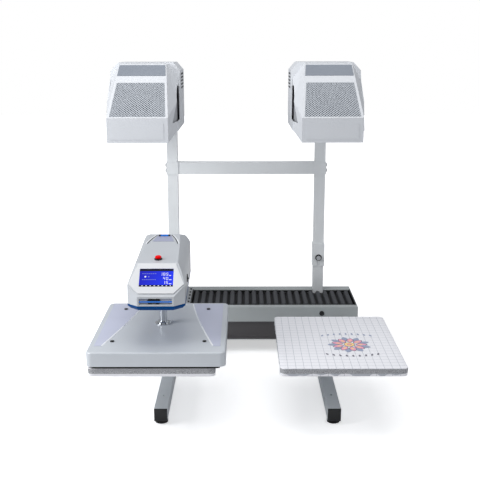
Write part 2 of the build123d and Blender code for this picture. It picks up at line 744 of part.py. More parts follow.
def hood_front(x, inner_side):
    """Front cover with a window in its brow for the grille and a raised plate on its face."""
    cover = front_form(x, inner_side, 0) - front_form(x, inner_side, HOOD_WALL)
    cover -= shell_form(x, 0)
    cover -= block(x - HOOD_HALF, x + HOOD_HALF, -12, 1, HOOD_BOTTOM - 20, HOOD_TOP + 20)
    field = brow_field(x, inner_side, GRILLE_LOW, GRILLE_HIGH, GRILLE_BORDER)
    normal = slope_plane(x, 0).z_dir
    cover -= extrude(Pos(*(normal * 4)) * field, amount=20, dir=-normal)
    cover -= side_window(x, inner_side)
    cover = sorted(cover.solids(), key=lambda s: s.volume)[-1]
    edge = 16.0
    return cover + block(
        x - FACE_HALF + edge, x + FACE_HALF - edge, FACE_Y - PLATE_LIFT, FACE_Y,
        FACE_BOTTOM + edge * 0.7, FACE_TOP - edge * 1.3,
    )


def hood_grille(x, inner_side):
    """Expanded metal with diamond openings, set into the brow's window."""
    border = GRILLE_BORDER + SEAT_GAP
    low, high = GRILLE_LOW + SEAT_GAP, GRILLE_HIGH - SEAT_GAP
    plane = slope_plane(x, 0)
    sheet = plane.to_local_coords(brow_field(x, inner_side, low, high, border))
    half = FACE_HALF - border - GRILLE_BAR
    step_x = 2 * half / GRILLE_COLUMNS
    step_y = (high - low - 2 * GRILLE_BAR) / GRILLE_ROWS
    a, b = (step_x - GRILLE_BAR) / 2, (step_y - GRILLE_BAR) / 2
    holes = []
    for row in range(2 * GRILLE_ROWS - 1):
        odd = row % 2
        cy = low + GRILLE_BAR + (row + 1) * step_y / 2
        y = slope_plane(x, cy + b).origin.Y
        for column in range(GRILLE_COLUMNS - odd):
            cx = (column + 0.5 + 0.5 * odd) * step_x - half
            side = 1 if cx > 0 else -1
            if abs(cx) + a < wall_at(y, side, inner_side) - border - GRILLE_BAR:
                diamond = Polyline((cx - a, cy), (cx, cy - b), (cx + a, cy), (cx, cy + b), close=True)
                holes.append(make_face(diamond))
    sheet -= holes
    return extrude(plane * Pos(0, 0, -GRILLE_THICK) * sheet, GRILLE_THICK)


def hood_top_panel(x, inner_side):
    """Thin bare plate on the brow above the grille."""
    field = brow_field(x, inner_side, TOP_PANEL_LOW, TOP_PANEL_HIGH, 4)
    return extrude(field, amount=1.5, dir=slope_plane(x, 0).z_dir)


def projector(x, inner_side):
    """Sealed projector unit that stands on the shell's floor and swells into the side window."""
    z0 = HOOD_BOTTOM + HOOD_WALL
    half = PROJECTOR_WIDTH / 2
    unit = side_prism(x - half, x + half, [
        (PROJECTOR_FRONT, z0), (PROJECTOR_FRONT, WINDOW_SILL + 35), (WINDOW_REAR - 30, PROJECTOR_TOP),
        (PROJECTOR_REAR, PROJECTOR_TOP), (PROJECTOR_REAR, z0),
    ])
    near, far = sorted((x, x + inner_side * HOOD_HALF))
    bulge = block(near, far, PROJECTOR_FRONT + 10, WINDOW_REAR + 12, WINDOW_SILL - 18, PROJECTOR_TOP)
    return unit + (bulge & front_form(x, inner_side, BULGE_DEPTH))


def connector(x, inner_side):
    return rod_z(x + inner_side * 108, CONNECTOR_Y, HOOD_BOTTOM - 18, HOOD_BOTTOM, 6.0)


def projector_lens(x, inner_side):
    z1 = HOOD_BOTTOM + HOOD_WALL
    lens = rod_z(x, LENS_Y, z1 - LENS_LENGTH, z1, LENS_RADIUS)
    return lens - rod_z(x, LENS_Y, z1 - LENS_LENGTH - 1, z1 - LENS_LENGTH + 3, LENS_RADIUS - 4)


# Carriage
def carriage_plate():
    """Plate over the housing's slot, with a frame for the bearings and a yoke to the cylinder."""
    x0, x1 = HEAD_X - CARRIAGE_HALF, HEAD_X + CARRIAGE_HALF
    plate = block(x0, x1, FRONT_LIP - 3, POST_FRONT - 2 * SEAT_GAP, CARRIAGE_BOTTOM, CARRIAGE_TOP)
    low = RAIL_Z + BLOCK_HALF
    plate += block(x0 + 8, x1 - 8, RAIL_Y[0] - 20, RAIL_Y[1] + 20, low, CARRIAGE_BOTTOM)
    plate -= block(x0 + 16, x1 - 16, RAIL_Y[0] - 12, RAIL_Y[1] + 12, low - 1, CARRIAGE_BOTTOM)
    half, reach = YOKE_HALF, DRIVE_RADIUS + 6
    plate += block(HEAD_X - half, HEAD_X + half, DRIVE_Y - reach, DRIVE_Y + reach, DRIVE_Z, CARRIAGE_BOTTOM)
    return plate - rod_x(x0, x1, DRIVE_Y, DRIVE_Z, DRIVE_RADIUS + SEAT_GAP)


def carriage_screws():
    """Rows of button-head screws along both edges of the plate."""
    heads = []
    for side in (-1, 1):
        for i in range(5):
            y = FRONT_LIP + 18 + i * 45
            heads.append(rod_z(HEAD_X + side * (CARRIAGE_HALF - 7), y, CARRIAGE_TOP, CARRIAGE_TOP + 3, 4.0))
    return heads


def bearing_blocks():
    """Linear bearings, two to a rail, bolted under the plate."""
    blocks = []
    for y in RAIL_Y:
        for side in (-1, 1):
            x0, x1 = sorted((HEAD_X + side * BLOCK_OFFSET, HEAD_X + side * (BLOCK_OFFSET + BLOCK_LENGTH)))
            z0, z1 = RAIL_Z - BLOCK_HALF, RAIL_Z + BLOCK_HALF
            piece = block(x0, x1, y - BLOCK_HALF, y + BLOCK_HALF, z0, z1)
            blocks.append(piece - rod_x(x0 - 1, x1 + 1, y, RAIL_Z, RAIL_RADIUS + RUN_GAP))
    return blocks


def head_arm():
    """Gooseneck that rises from the carriage and reaches forward into the head."""
    outline = [
        (GOOSENECK_REAR, CARRIAGE_TOP), (GOOSENECK_REAR, 400), (190, 446), (60, 486), (-330, CYLINDER_TOP + 58),
        (-600, CYLINDER_TOP + 58), (-600, CYLINDER_TOP), (-360, CYLINDER_TOP),
        (-60, 440), (40, 385), (60, 340), (60, CARRIAGE_TOP),
    ]
    half = GOOSENECK_WIDTH / 2
    arm = side_prism(HEAD_X - half, HEAD_X + half, outline)
    bends = [e for e in arm.edges().filter_by(Axis.X) if 300 < e.center().Z < 495 and e.center().Y > -100]
    return fillet(bends, 12)


def head_form(inset):
    """The head as a closed solid, drawn in by inset: a side outline, shoulders and a nose.

    The shoulders are flat behind the control face and swell to a round back.
    """
    i = inset
    base, top = HEAD_BOTTOM - 2 * i, NOSE_TOP + BEZEL_TOP_Y - HEAD_FRONT
    side = side_prism(HEAD_X - 120, HEAD_X + 120, drawn_in([
        (HEAD_REAR, base), (HEAD_REAR - 4, CREST_Z - 48), (CREST_Y + 40, CREST_Z - 12),
        (CREST_Y, CREST_Z), (BEZEL_TOP_Y, top), (HEAD_FRONT, NOSE_TOP), (HEAD_FRONT, base),
    ], i))

    def section(y, half, shoulder_z, top_half, top_z, reach, reach_z):
        low = base - 1
        at = [(HEAD_X - half, y, low), (HEAD_X + half, y, low), (HEAD_X + half, y, shoulder_z)]
        at += [(HEAD_X + top_half, y, top_z), (HEAD_X - top_half, y, top_z), (HEAD_X - half, y, shoulder_z)]
        right = ThreePointArc(at[2], (HEAD_X + reach, y, reach_z), at[3])
        left = ThreePointArc(at[4], (HEAD_X - reach, y, reach_z), at[5])
        edges = [Line(at[0], at[1]), Line(at[1], at[2]), right, Line(at[3], at[4]), left, Line(at[5], at[0])]
        return make_face(edges)

    front = section(HEAD_FRONT - 10, HEAD_HALF - i, SHOULDER_Z, 60 - i, 574 - i * 0.3, 77.5 - i, 545 - i * 0.6)
    rear = section(
        HEAD_REAR + 5, HEAD_REAR_HALF - i, SHOULDER_Z + 6, CREST_HALF, CREST_Z + 6 - i,
        SHOULDER_REACH - i * 0.8, CREST_Z - 27 - i * 0.6,
    )
    return side & loft([front, rear], ruled=True) & plan_prism(base - 2, CREST_Z + 20, nose_plan(i))


def nose_plan(inset):
    """Plan outline of the head: a chamfered nose and slightly tapered sides."""
    n, h, r = NOSE_HALF - inset * 0.4, HEAD_HALF - inset, HEAD_REAR_HALF - inset
    y = HEAD_FRONT + inset
    corner = HEAD_FRONT + NOSE_CHAMFER + inset * 0.4
    rear = HEAD_REAR - inset
    return [
        (HEAD_X - n, y), (HEAD_X + n, y), (HEAD_X + h, corner), (HEAD_X + r, rear),
        (HEAD_X - r, rear), (HEAD_X - h, corner),
    ]


def crest_plane(y):
    """Plane on the head's gently rising top, at the given Y."""
    z = NOSE_TOP + BEZEL_TOP_Y - HEAD_FRONT + (y - BEZEL_TOP_Y) * CREST_SLOPE
    return Plane(origin=(HEAD_X, y, z), x_dir=(1, 0, 0), z_dir=(0, -CREST_SLOPE, 1))


def bezel_plane():
    """Plane of the control face, which leans back at 45 degrees."""
    middle_y = (HEAD_FRONT + BEZEL_TOP_Y) / 2 + 4.5
    z = NOSE_TOP + middle_y - HEAD_FRONT
    return Plane(origin=(HEAD_X, middle_y, z), x_dir=(1, 0, 0), z_dir=(0, -1, 1))


def switch_plane():
    """Plane on the right side wall of the head."""
    slope = (HEAD_HALF - HEAD_REAR_HALF) / (HEAD_REAR + 5 - HEAD_FRONT + 10)
    half = HEAD_HALF - slope * (SWITCH_Y - HEAD_FRONT + 10)
    return Plane(origin=(HEAD_X + half, SWITCH_Y, SWITCH_Z), x_dir=(-slope, 1, 0), z_dir=(1, slope, 0))


def head_housing():
    """Moulded cover, open underneath, with a window in its nose."""
    shell = head_form(0) - head_form(HEAD_WALL)
    z0 = HEAD_BOTTOM + 3
    shell -= block(
        HEAD_X - RECESS_HALF, HEAD_X + RECESS_HALF, HEAD_FRONT - 1, HEAD_FRONT + HEAD_WALL + 1,
        z0, z0 + RECESS_HEIGHT,
    )
    half = GOOSENECK_WIDTH / 2 + 1
    shell -= block(
        HEAD_X - half, HEAD_X + half, HEAD_REAR - 20, HEAD_REAR + 10, HEAD_BOTTOM - 1, CYLINDER_TOP + 60,
    )
    shell -= crest_plane(STOP_BUTTON_Y) * Cylinder(STOP_STEM_RADIUS + 0.5, 30)
    shell -= switch_plane() * Box(ROCKER_WIDTH + 1.4, 2 * ROCKER_RADIUS + 1.4, 20)
    return shell


def head_trim():
    """Coloured tray that closes the head from below, with a hole for the ram."""
    z0 = HEAD_BOTTOM - TRIM_HEIGHT
    tray = plan_prism(z0, HEAD_BOTTOM, nose_plan(0))
    tray = chamfer(tray.faces().sort_by(Axis.Z)[0].edges(), 9)
    tray -= plan_prism(z0 + HEAD_WALL, HEAD_BOTTOM + 1, nose_plan(12))
    tray -= rod_z(HEAD_X, RAM_Y, z0 - 1, z0 + HEAD_WALL + 1, RAM_RADIUS + 1)
    half = GOOSENECK_WIDTH / 2 + 1
    return tray - block(HEAD_X - half, HEAD_X + half, HEAD_REAR - 30, HEAD_REAR + 1, z0 + HEAD_WALL, HEAD_BOTTOM + 1)


def head_bezel():
    """Hexagonal white face round the screen."""
    points = [(-60, 52), (60, 52), (88, -23), (56, -57), (-56, -57), (-88, -23)]
    face = make_face(Polyline(*points, close=True))
    gap = 2 * SEAT_GAP
    face -= Rectangle(SCREEN_WIDTH + gap, SCREEN_HEIGHT + gap)
    return extrude(bezel_plane() * face, BEZEL_THICK)


def screen():
    return extrude(bezel_plane() * Rectangle(SCREEN_WIDTH, SCREEN_HEIGHT), SCREEN_THICK)


def recess_tray():
    """Metal tray behind the window in the head's nose."""
    gap = SEAT_GAP
    x0, x1 = HEAD_X - RECESS_HALF + gap, HEAD_X + RECESS_HALF - gap
    z0, z1 = HEAD_BOTTOM + 3 + gap, HEAD_BOTTOM + 3 + RECESS_HEIGHT - gap
    tray = block(x0, x1, HEAD_FRONT + 1, HEAD_FRONT + RECESS_DEPTH, z0, z1)
    return tray - block(x0 + 1.5, x1 - 1.5, HEAD_FRONT, HEAD_FRONT + RECESS_DEPTH - 1.5, z0 + 1.5, z1 - 1.5)


def light_bar():
    """Translucent bar that runs across the recess."""
    z = HEAD_BOTTOM + 3 + RECESS_HEIGHT * 0.45
    x0, x1 = HEAD_X - RECESS_HALF + SEAT_GAP + 1.5, HEAD_X + RECESS_HALF - SEAT_GAP - 1.5
    return block(x0, x1, HEAD_FRONT + 2, HEAD_FRONT + 6, z - 2, z + 2)


def catch_block():
    """Two-lobed block at the middle of the recess, behind the bar."""
    z = HEAD_BOTTOM + 3 + RECESS_HEIGHT * 0.45
    y0, y1 = HEAD_FRONT + 6, HEAD_FRONT + RECESS_DEPTH - 1.5
    x = HEAD_X - 6
    lobes = rod_y(x - 12, y0, y1, z, 8.5) + rod_y(x + 12, y0, y1, z, 8.5)
    return lobes + block(x - 12, x + 12, y0, y1, z - 5, z + 5)


def switch_bezel():
    ring = extrude(switch_plane() * SlotOverall(28, 15, rotation=90), 2.5)
    return ring - switch_plane() * Box(ROCKER_WIDTH + 1, 2 * ROCKER_RADIUS + 1, 10)


def power_rocker():
    """Rocker whose round back turns in the switch body."""
    axis = switch_plane() * Pos(0, 0, -3) * Rot(0, 90, 0)
    rocker = Cylinder(ROCKER_RADIUS, ROCKER_WIDTH)
    for tilt in (-1, 1):
        facet = Pos(-ROCKER_RADIUS - 3.5, -tilt * 5, 0) * Box(12, 10, 2 * ROCKER_WIDTH)
        rocker -= Rot(0, 0, tilt * ROCKER_FACET) * facet
    return axis * Rot(0, 0, ROCKER_TILT) * rocker


def stop_collar():
    plane = crest_plane(STOP_BUTTON_Y)
    ring = plane * Pos(0, 0, STOP_COLLAR_HEIGHT / 2) * Cylinder(STOP_COLLAR_RADIUS, STOP_COLLAR_HEIGHT)
    return ring - plane * Cylinder(STOP_STEM_RADIUS + SEAT_GAP, 20)


def stop_button():
    """Mushroom button on a stem through the collar."""
    plane = crest_plane(STOP_BUTTON_Y)
    low = STOP_COLLAR_HEIGHT + SEAT_GAP + STOP_BUTTON_TRAVEL
    cap = Pos(0, 0, low + STOP_CAP_HEIGHT / 2) * Cylinder(STOP_CAP_RADIUS, STOP_CAP_HEIGHT)
    cap = chamfer(cap.faces().sort_by(Axis.Z)[-1].edges(), STOP_CAP_HEIGHT * 0.4)
    cap += Pos(0, 0, low / 2 - 3) * Cylinder(STOP_STEM_RADIUS, low + 6)
    return plane * cap


def top_inset():
    """Tinted plate let onto the head's top behind the stop button."""
    plane = crest_plane(-435.0)
    face = make_face(Polyline((-37, -34), (37, -34), (22, 30), (-22, 30), close=True))
    return extrude(plane * face, INSET_THICK)


def status_light():
    plane = crest_plane(-435.0)
    return plane * Pos(0, 21, INSET_THICK + 2) * Box(40, 8, 4)


def air_cylinder():
    """Short pressing cylinder under the arm, with a blind bore for the ram."""
    body = rod_z(HEAD_X, RAM_Y, CYLINDER_BOTTOM, CYLINDER_TOP, CYLINDER_RADIUS)
    return body - rod_z(HEAD_X, RAM_Y, CYLINDER_BOTTOM - 1, CYLINDER_TOP - 2.5, RAM_RADIUS + RUN_GAP)


# Bellows
def bellows(x0, x1, thick):
    """Pleated way cover: a zigzag sheet whose folds run from front to back."""
    top, low = HOUSING_TOP + 1.0, HOUSING_TOP - BELLOWS_BOTTOM
    step = (x1 - x0) / BELLOWS_PLEATS
    upper, lower = [], []
    for i in range(BELLOWS_PLEATS + 1):
        upper.append((x0 + i * step, low + thick))
        lower.append((x0 + i * step, low))
        if i < BELLOWS_PLEATS:
            upper.append((x0 + (i + 0.5) * step, top))
            lower.append((x0 + (i + 0.5) * step, top - thick))
    y0, y1 = FRONT_LIP + SEAT_GAP, OPENING_REAR - SEAT_GAP
    outline = upper + lower[::-1]
    face = make_face(Polyline(*[(x, y0, z) for x, z in outline], close=True))
    return extrude(face, amount=y1 - y0, dir=(0, 1, 0))


def bellows_plate(x0):
    """Stiff end plate of a bellows."""
    y0, y1 = FRONT_LIP + SEAT_GAP, OPENING_REAR - SEAT_GAP
    return block(x0, x0 + BELLOWS_PLATE, y0, y1, HOUSING_TOP - BELLOWS_BOTTOM, HOUSING_TOP + 2)


# Press
def press_ram():
    """Polished ram whose top end runs in the pressing cylinder."""
    return rod_z(HEAD_X, RAM_Y, COVER_TOP + FLANGE_THICK + HUB_HEIGHT, RAM_TOP, RAM_RADIUS)


def press_flange():
    z = COVER_TOP
    flange = rod_z(HEAD_X, RAM_Y, z, z + FLANGE_THICK, FLANGE_RADIUS)
    flange += rod_z(HEAD_X, RAM_Y, z + FLANGE_THICK, z + FLANGE_THICK + HUB_HEIGHT, HUB_RADIUS)
    return chamfer(flange.faces().sort_by(Axis.Z)[-1].edges(), 1.5)


def heat_cover():
    """Pressed cover over the heated plate, rounded at its corners and top edge."""
    y = COVER_FRONT + COVER_LENGTH / 2
    cover = rounded_plate(HEAD_X, y, COVER_BOTTOM, COVER_TOP, COVER_WIDTH, COVER_LENGTH, COVER_RADIUS)
    cover = fillet(cover.faces().sort_by(Axis.Z)[-1].edges(), COVER_EDGE)
    w = 2 * COVER_WALL
    inner = rounded_plate(
        HEAD_X, y, COVER_BOTTOM - 1, COVER_TOP - COVER_WALL,
        COVER_WIDTH - w, COVER_LENGTH - w, COVER_RADIUS - COVER_WALL,
    )
    inner = chamfer(inner.faces().sort_by(Axis.Z)[-1].edges(), (COVER_EDGE - COVER_WALL) * 0.75)
    return cover - inner


def cover_insets():
    """Tinted panels on both sides of the cover, each bounded by a sweeping curve."""
    panels = []
    near, far = COVER_FRONT + INSET_FRONT_MARGIN, COVER_REAR - INSET_REAR_MARGIN
    edge = COVER_WIDTH / 2 - INSET_SIDE_MARGIN
    for side in (-1, 1):
        def at(dx, y):
            return (HEAD_X + side * dx, y, COVER_TOP)
        curve = ThreePointArc(at(178, near), at(124, (near + far) / 2 + 20), at(92, far))
        outline = [
            curve, Line(at(92, far), at(edge, far)), Line(at(edge, far), at(edge, near)),
            Line(at(edge, near), at(178, near)),
        ]
        panels.append(extrude(make_face(outline), amount=INSET_THICK, dir=(0, 0, 1)))
    return panels


def cover_screws():
    heads = []
    for dx in (-COVER_SCREW_X, COVER_SCREW_X):
        for y, seat in ((COVER_SCREW_REAR, COVER_TOP + INSET_THICK), (COVER_SCREW_FRONT, COVER_TOP)):
            heads.append(rod_z(HEAD_X + dx, y, seat, seat + 3, 6.5))
    return heads


def heated_plate():
    y = COVER_FRONT + COVER_LENGTH / 2
    return rounded_plate(
        HEAD_X, y, HEATER_BOTTOM, HEATER_BOTTOM + HEATER_THICK, HEATER_WIDTH, HEATER_LENGTH, 10,
    )


def insulation_board():
    y = COVER_FRONT + COVER_LENGTH / 2
    return rounded_plate(
        HEAD_X, y, HEATER_BOTTOM + HEATER_THICK, COVER_TOP - COVER_WALL,
        HEATER_WIDTH - 2 * BOARD_SIDE_MARGIN, HEATER_LENGTH - 2 * BOARD_END_MARGIN, 8,
    )


# Assembly
def both_sides(make):
    """One of a hood's pieces on the left and one on the right, each with its inner side."""
    return [make(HOOD_X[0], 1), make(HOOD_X[1], -1)]


carriage_left = HEAD_X - CARRIAGE_HALF
carriage_right = HEAD_X + CARRIAGE_HALF
wall_left = -HOUSING_HALF + SHEET
wall_right = HOUSING_HALF - SHEET
plate = BELLOWS_PLATE

NODES = {
    "legs": legs(),
    "leg_caps": leg_caps(),
    "feet": feet(),
    "base_housing": [base_housing()],
    "lower_panel": [lower_panel()],
    "button_collars": button_collars(),
    "start_button_left": [start_button(-BUTTON_X)],
    "start_button_right": [start_button(BUTTON_X)],
    "rear_inlets": [mains_inlet(), air_inlet()],
    "guide_rails": guide_rails(),
    "shuttle_cylinder": [shuttle_cylinder()],
    "end_stops": end_stops(),
    "platen_arms": platen_arms(),
    "arm_bolts": arm_bolts(),
    "lower_platens": lower_platens(),
    "silicone_pads": silicone_pads(),
    "platen_cloth_left": [platen_cloth(-STATION_X)],
    "platen_cloth_right": [platen_cloth(STATION_X)],
    "lower_posts": lower_posts(),
    "post_bolts": post_bolts(),
    "upper_posts": upper_posts(),
    "post_sleeves": post_sleeves(),
    "crossbar": [crossbar()],
    "crossbar_bolts": crossbar_bolts(),
    "hood_brackets": hood_brackets(),
    "hood_rear_left": [hood_rear(HOOD_X[0], 1)],
    "hood_rear_right": [hood_rear(HOOD_X[1], -1)],
    "hood_front_left": [hood_front(HOOD_X[0], 1)],
    "hood_front_right": [hood_front(HOOD_X[1], -1)],
    "hood_grilles": both_sides(hood_grille),
    "hood_top_panels": both_sides(hood_top_panel),
    "projectors": both_sides(projector) + both_sides(projector_lens) + both_sides(connector),
    "carriage_plate": [carriage_plate()],
    "carriage_screws": carriage_screws(),
    "bearing_blocks": bearing_blocks(),
    "head_arm": [head_arm()],
    "head_housing": [head_housing()],
    "head_trim": [head_trim()],
    "head_bezel": [head_bezel()],
    "screen": [screen()],
    "recess_tray": [recess_tray()],
    "light_bars": [light_bar(), status_light()],
    "catch_block": [catch_block()],
    "switch_bezel": [switch_bezel()],
    "power_rocker": [power_rocker()],
    "stop_collar": [stop_collar()],
    "stop_button": [stop_button()],
    "top_inset": [top_inset()],
    "air_cylinder": [air_cylinder()],
    "bellows_right": [bellows(carriage_right + plate, wall_right - plate, BELLOWS_SHEET)],
    "bellows_left": [bellows(wall_left + plate, carriage_left - plate, BELLOWS_SHEET)],
    "bellows_plates_fixed": [bellows_plate(wall_left), bellows_plate(wall_right - plate)],
    "bellows_plates_moving": [bellows_plate(carriage_right), bellows_plate(carriage_left - plate)],
    "press_ram": [press_ram()],
    "press_flange": [press_flange()],
    "heat_cover": [heat_cover()],
    "cover_insets": cover_insets(),
    "cover_screws": cover_screws(),
    "heated_plate": [heated_plate()],
    "insulation_board": [insulation_board()],
}


def main():
    """Writes one file per sub-part, about the middle of the whole object's floor plan."""
    os.makedirs("parts", exist_ok=True)
    solids = {name: [s for shape in shapes for s in shape.solids()] for name, shapes in NODES.items()}
    box = Compound([s for group in solids.values() for s in group]).bounding_box()
    shift = Pos(-(box.min.X + box.max.X) / 2, -(box.min.Y + box.max.Y) / 2, 0)
    for name, group in solids.items():
        moved = [shift * s for s in group]
        export_step(moved[0] if len(moved) == 1 else Compound(moved), f"parts/{name}.step")
    print("shift", shift.position, "box", box.size, "nodes", len(NODES))


main()
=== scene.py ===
from math import cos, pi, radians, sin

import bpy
import numpy as np
from mathutils import Matrix, Vector
from mathutils.bvhtree import BVHTree


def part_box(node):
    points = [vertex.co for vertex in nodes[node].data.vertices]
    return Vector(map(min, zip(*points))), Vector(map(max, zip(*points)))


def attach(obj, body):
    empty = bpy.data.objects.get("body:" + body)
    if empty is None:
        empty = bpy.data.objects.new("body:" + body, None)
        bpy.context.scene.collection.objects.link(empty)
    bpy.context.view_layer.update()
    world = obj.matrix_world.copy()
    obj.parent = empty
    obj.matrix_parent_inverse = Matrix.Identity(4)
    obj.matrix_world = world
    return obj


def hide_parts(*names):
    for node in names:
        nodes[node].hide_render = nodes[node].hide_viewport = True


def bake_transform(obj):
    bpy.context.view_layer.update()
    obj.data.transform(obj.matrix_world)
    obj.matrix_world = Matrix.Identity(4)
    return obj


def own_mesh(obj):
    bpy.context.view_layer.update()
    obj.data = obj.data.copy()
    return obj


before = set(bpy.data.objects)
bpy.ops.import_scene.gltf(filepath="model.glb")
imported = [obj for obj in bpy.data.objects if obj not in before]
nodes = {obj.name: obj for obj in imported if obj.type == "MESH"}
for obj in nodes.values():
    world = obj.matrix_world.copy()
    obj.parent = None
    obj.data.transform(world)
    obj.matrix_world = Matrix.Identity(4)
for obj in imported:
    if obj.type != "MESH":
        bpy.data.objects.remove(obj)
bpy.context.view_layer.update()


# Legs and feet
# Two square steel tubes with a light grey powder coat run front to back. Black moulded
# caps plug their ends, and rubber-soled levelling feet screw into them from below.

DRIFT_SCALE = 7.0
DRIFT_RAMP = (0.3, 0.7)
GLOSS_SPREAD = 0.05
GRAIN_STRENGTH = 0.35
COAT_ROUGHNESS = 0.12


def linear(red, green, blue):
    """Scene-linear colour from display values of 0 to 255."""
    display = np.array([red, green, blue]) / 255.0
    light = np.where(display <= 0.04045, display / 12.92, ((display + 0.055) / 1.055) ** 2.4)
    return (float(light[0]), float(light[1]), float(light[2]), 1.0)


def feed(node, inputs):
    """Gives sockets their values, or links them where the value is another node's output."""
    for key, value in inputs.items():
        if isinstance(value, bpy.types.NodeSocket):
            node.id_data.links.new(value, node.inputs[key])
        else:
            node.inputs[key].default_value = value


def add_node(tree, kind, inputs=None, **settings):
    """A shader node with its settings and what its sockets are fed."""
    node = tree.nodes.new(kind)
    for key, value in settings.items():
        setattr(node, key, value)
    feed(node, inputs or {})
    return node


def calc(tree, operation, *inputs):
    """Output of a Math node over plain numbers or other outputs."""
    return add_node(tree, "ShaderNodeMath", dict(enumerate(inputs)), operation=operation).outputs[0]


def ramp(tree, share, low, high, start=0.0, end=1.0):
    """Colour that goes from low to high while the share goes from start to end."""
    node = add_node(tree, "ShaderNodeValToRGB", {"Fac": share})
    first, last = node.color_ramp.elements
    first.position, last.position = start, end
    first.color, last.color = low, high
    return node.outputs["Color"]


def object_place(tree):
    """The object's own coordinates."""
    return add_node(tree, "ShaderNodeTexCoord").outputs["Object"]


def object_axes(tree):
    """The object's own X, Y and Z."""
    return add_node(tree, "ShaderNodeSeparateXYZ", {0: object_place(tree)}).outputs


def shader_of(material):
    """The main shader of a material."""
    return material.node_tree.nodes["Principled BSDF"]


def new_material(name):
    """A new material with its node tree and its main shader."""
    material = bpy.data.materials.new(name)
    material.use_nodes = True
    return material, material.node_tree, shader_of(material)


def made_surface(name, colour, rough, metal=0.0, drift=0.05, grain=600.0, relief=0.00012, coat=0.0):
    """Finish of a made part: its colour drifts over some 15 cm, and a fine grain breaks its gloss."""
    material, tree, shader = new_material(name)
    place = object_place(tree)
    cloud = add_node(tree, "ShaderNodeTexNoise", {"Vector": place, "Scale": DRIFT_SCALE, "Detail": 3.0})
    fine = add_node(tree, "ShaderNodeTexNoise", {"Vector": place, "Scale": grain, "Detail": 2.0})
    low = [c * (1.0 - drift) for c in colour[:3]] + [1.0]
    high = [min(1.0, c * (1.0 + drift)) for c in colour[:3]] + [1.0]
    gloss = add_node(tree, "ShaderNodeMapRange", {
        "Value": fine.outputs["Fac"], "To Min": rough - GLOSS_SPREAD, "To Max": rough + GLOSS_SPREAD,
    })
    bump = add_node(tree, "ShaderNodeBump", {
        "Height": fine.outputs["Fac"], "Strength": GRAIN_STRENGTH, "Distance": relief,
    })
    feed(shader, {
        "Metallic": metal, "Coat Weight": coat, "Coat Roughness": COAT_ROUGHNESS,
        "Base Color": ramp(tree, cloud.outputs["Fac"], low, high, *DRIFT_RAMP),
        "Roughness": gloss.outputs["Result"], "Normal": bump.outputs["Normal"],
    })
    return material


def dress(material, *names):
    """Gives CAD nodes this finish in place of their plain one."""
    for name in names:
        for slot in nodes[name].material_slots:
            slot.material = material


leg_paint = made_surface("leg_paint_coat", linear(206, 211, 215), 0.42, drift=0.03)
black_moulding = made_surface("black_moulding", linear(26, 27, 29), 0.5, grain=900.0, relief=0.0002)
sole_rubber = made_surface("sole_rubber", linear(16, 16, 17), 0.75, grain=400.0)
dress(leg_paint, "legs")
dress(black_moulding, "leg_caps")
dress(sole_rubber, "feet")


# Base housing
# A tray of folded sheet steel, powder coated in a darker grey, open at the top for the
# carriage. A black moulded panel closes its front wall, with a start button on each side.

housing_paint = made_surface("housing_paint_coat", linear(165, 170, 171), 0.45, drift=0.03)
panel_plastic = made_surface("panel_plastic", linear(72, 70, 72), 0.62, grain=260.0, relief=0.0004)
dress(housing_paint, "base_housing")
dress(panel_plastic, "lower_panel")
dress(black_moulding, "button_collars", "start_button_left", "start_button_right", "rear_inlets")


# Shuttle drive
# Two ground steel rails and a rodless air cylinder run along the inside of the housing,
# with bearing blocks under the carriage plate and rubber buffers at both ends.

ground_steel = made_surface("ground_steel", linear(196, 198, 201), 0.22, metal=1.0, drift=0.03)
milled_aluminium = made_surface("milled_aluminium", linear(196, 199, 203), 0.38, metal=0.9, drift=0.04)
dress(ground_steel, "guide_rails")
dress(milled_aluminium, "shuttle_cylinder", "bearing_blocks")
dress(sole_rubber, "end_stops")


# Bellows
# Way covers of black coated cloth, stitched into pleats that stand up from back to front.
# A stiff plate at each end screws to the end wall or to the carriage.

BELLOWS_Y = (0.2765, 0.4925)
BELLOWS_Z = (0.1842, 0.2005)
BELLOWS_PLEATS = 22
PLEAT_FLAT = 1.7
POINT_LENGTH = 0.020
PLEAT_SAG = 0.0012
PLEAT_STEPS = 10
PLEAT_ROWS = 36


def add_piece(name, mesh, material):
    """Puts a mesh in the scene under a name, with its material."""
    mesh.materials.append(material)
    piece = bpy.data.objects.new(name, mesh)
    bpy.context.scene.collection.objects.link(piece)
    return piece


def grid_mesh(name, points, material, around=False):
    """A mesh of quads over a grid of points, closed in the second direction when asked."""
    rows, columns = points.shape[:2]
    last = columns if around else columns - 1
    first = np.arange(rows - 1)[:, None] * columns
    left = np.arange(last)[None, :]
    right = (left + 1) % columns
    faces = np.stack([first + left, first + right, first + columns + right, first + columns + left], -1)
    mesh = bpy.data.meshes.new(name)
    mesh.from_pydata(points.reshape(-1, 3).tolist(), [], faces.reshape(-1, 4).tolist())
    mesh.polygons.foreach_set("use_smooth", [True] * len(mesh.polygons))
    mesh.update()
    return add_piece(name, mesh, material)


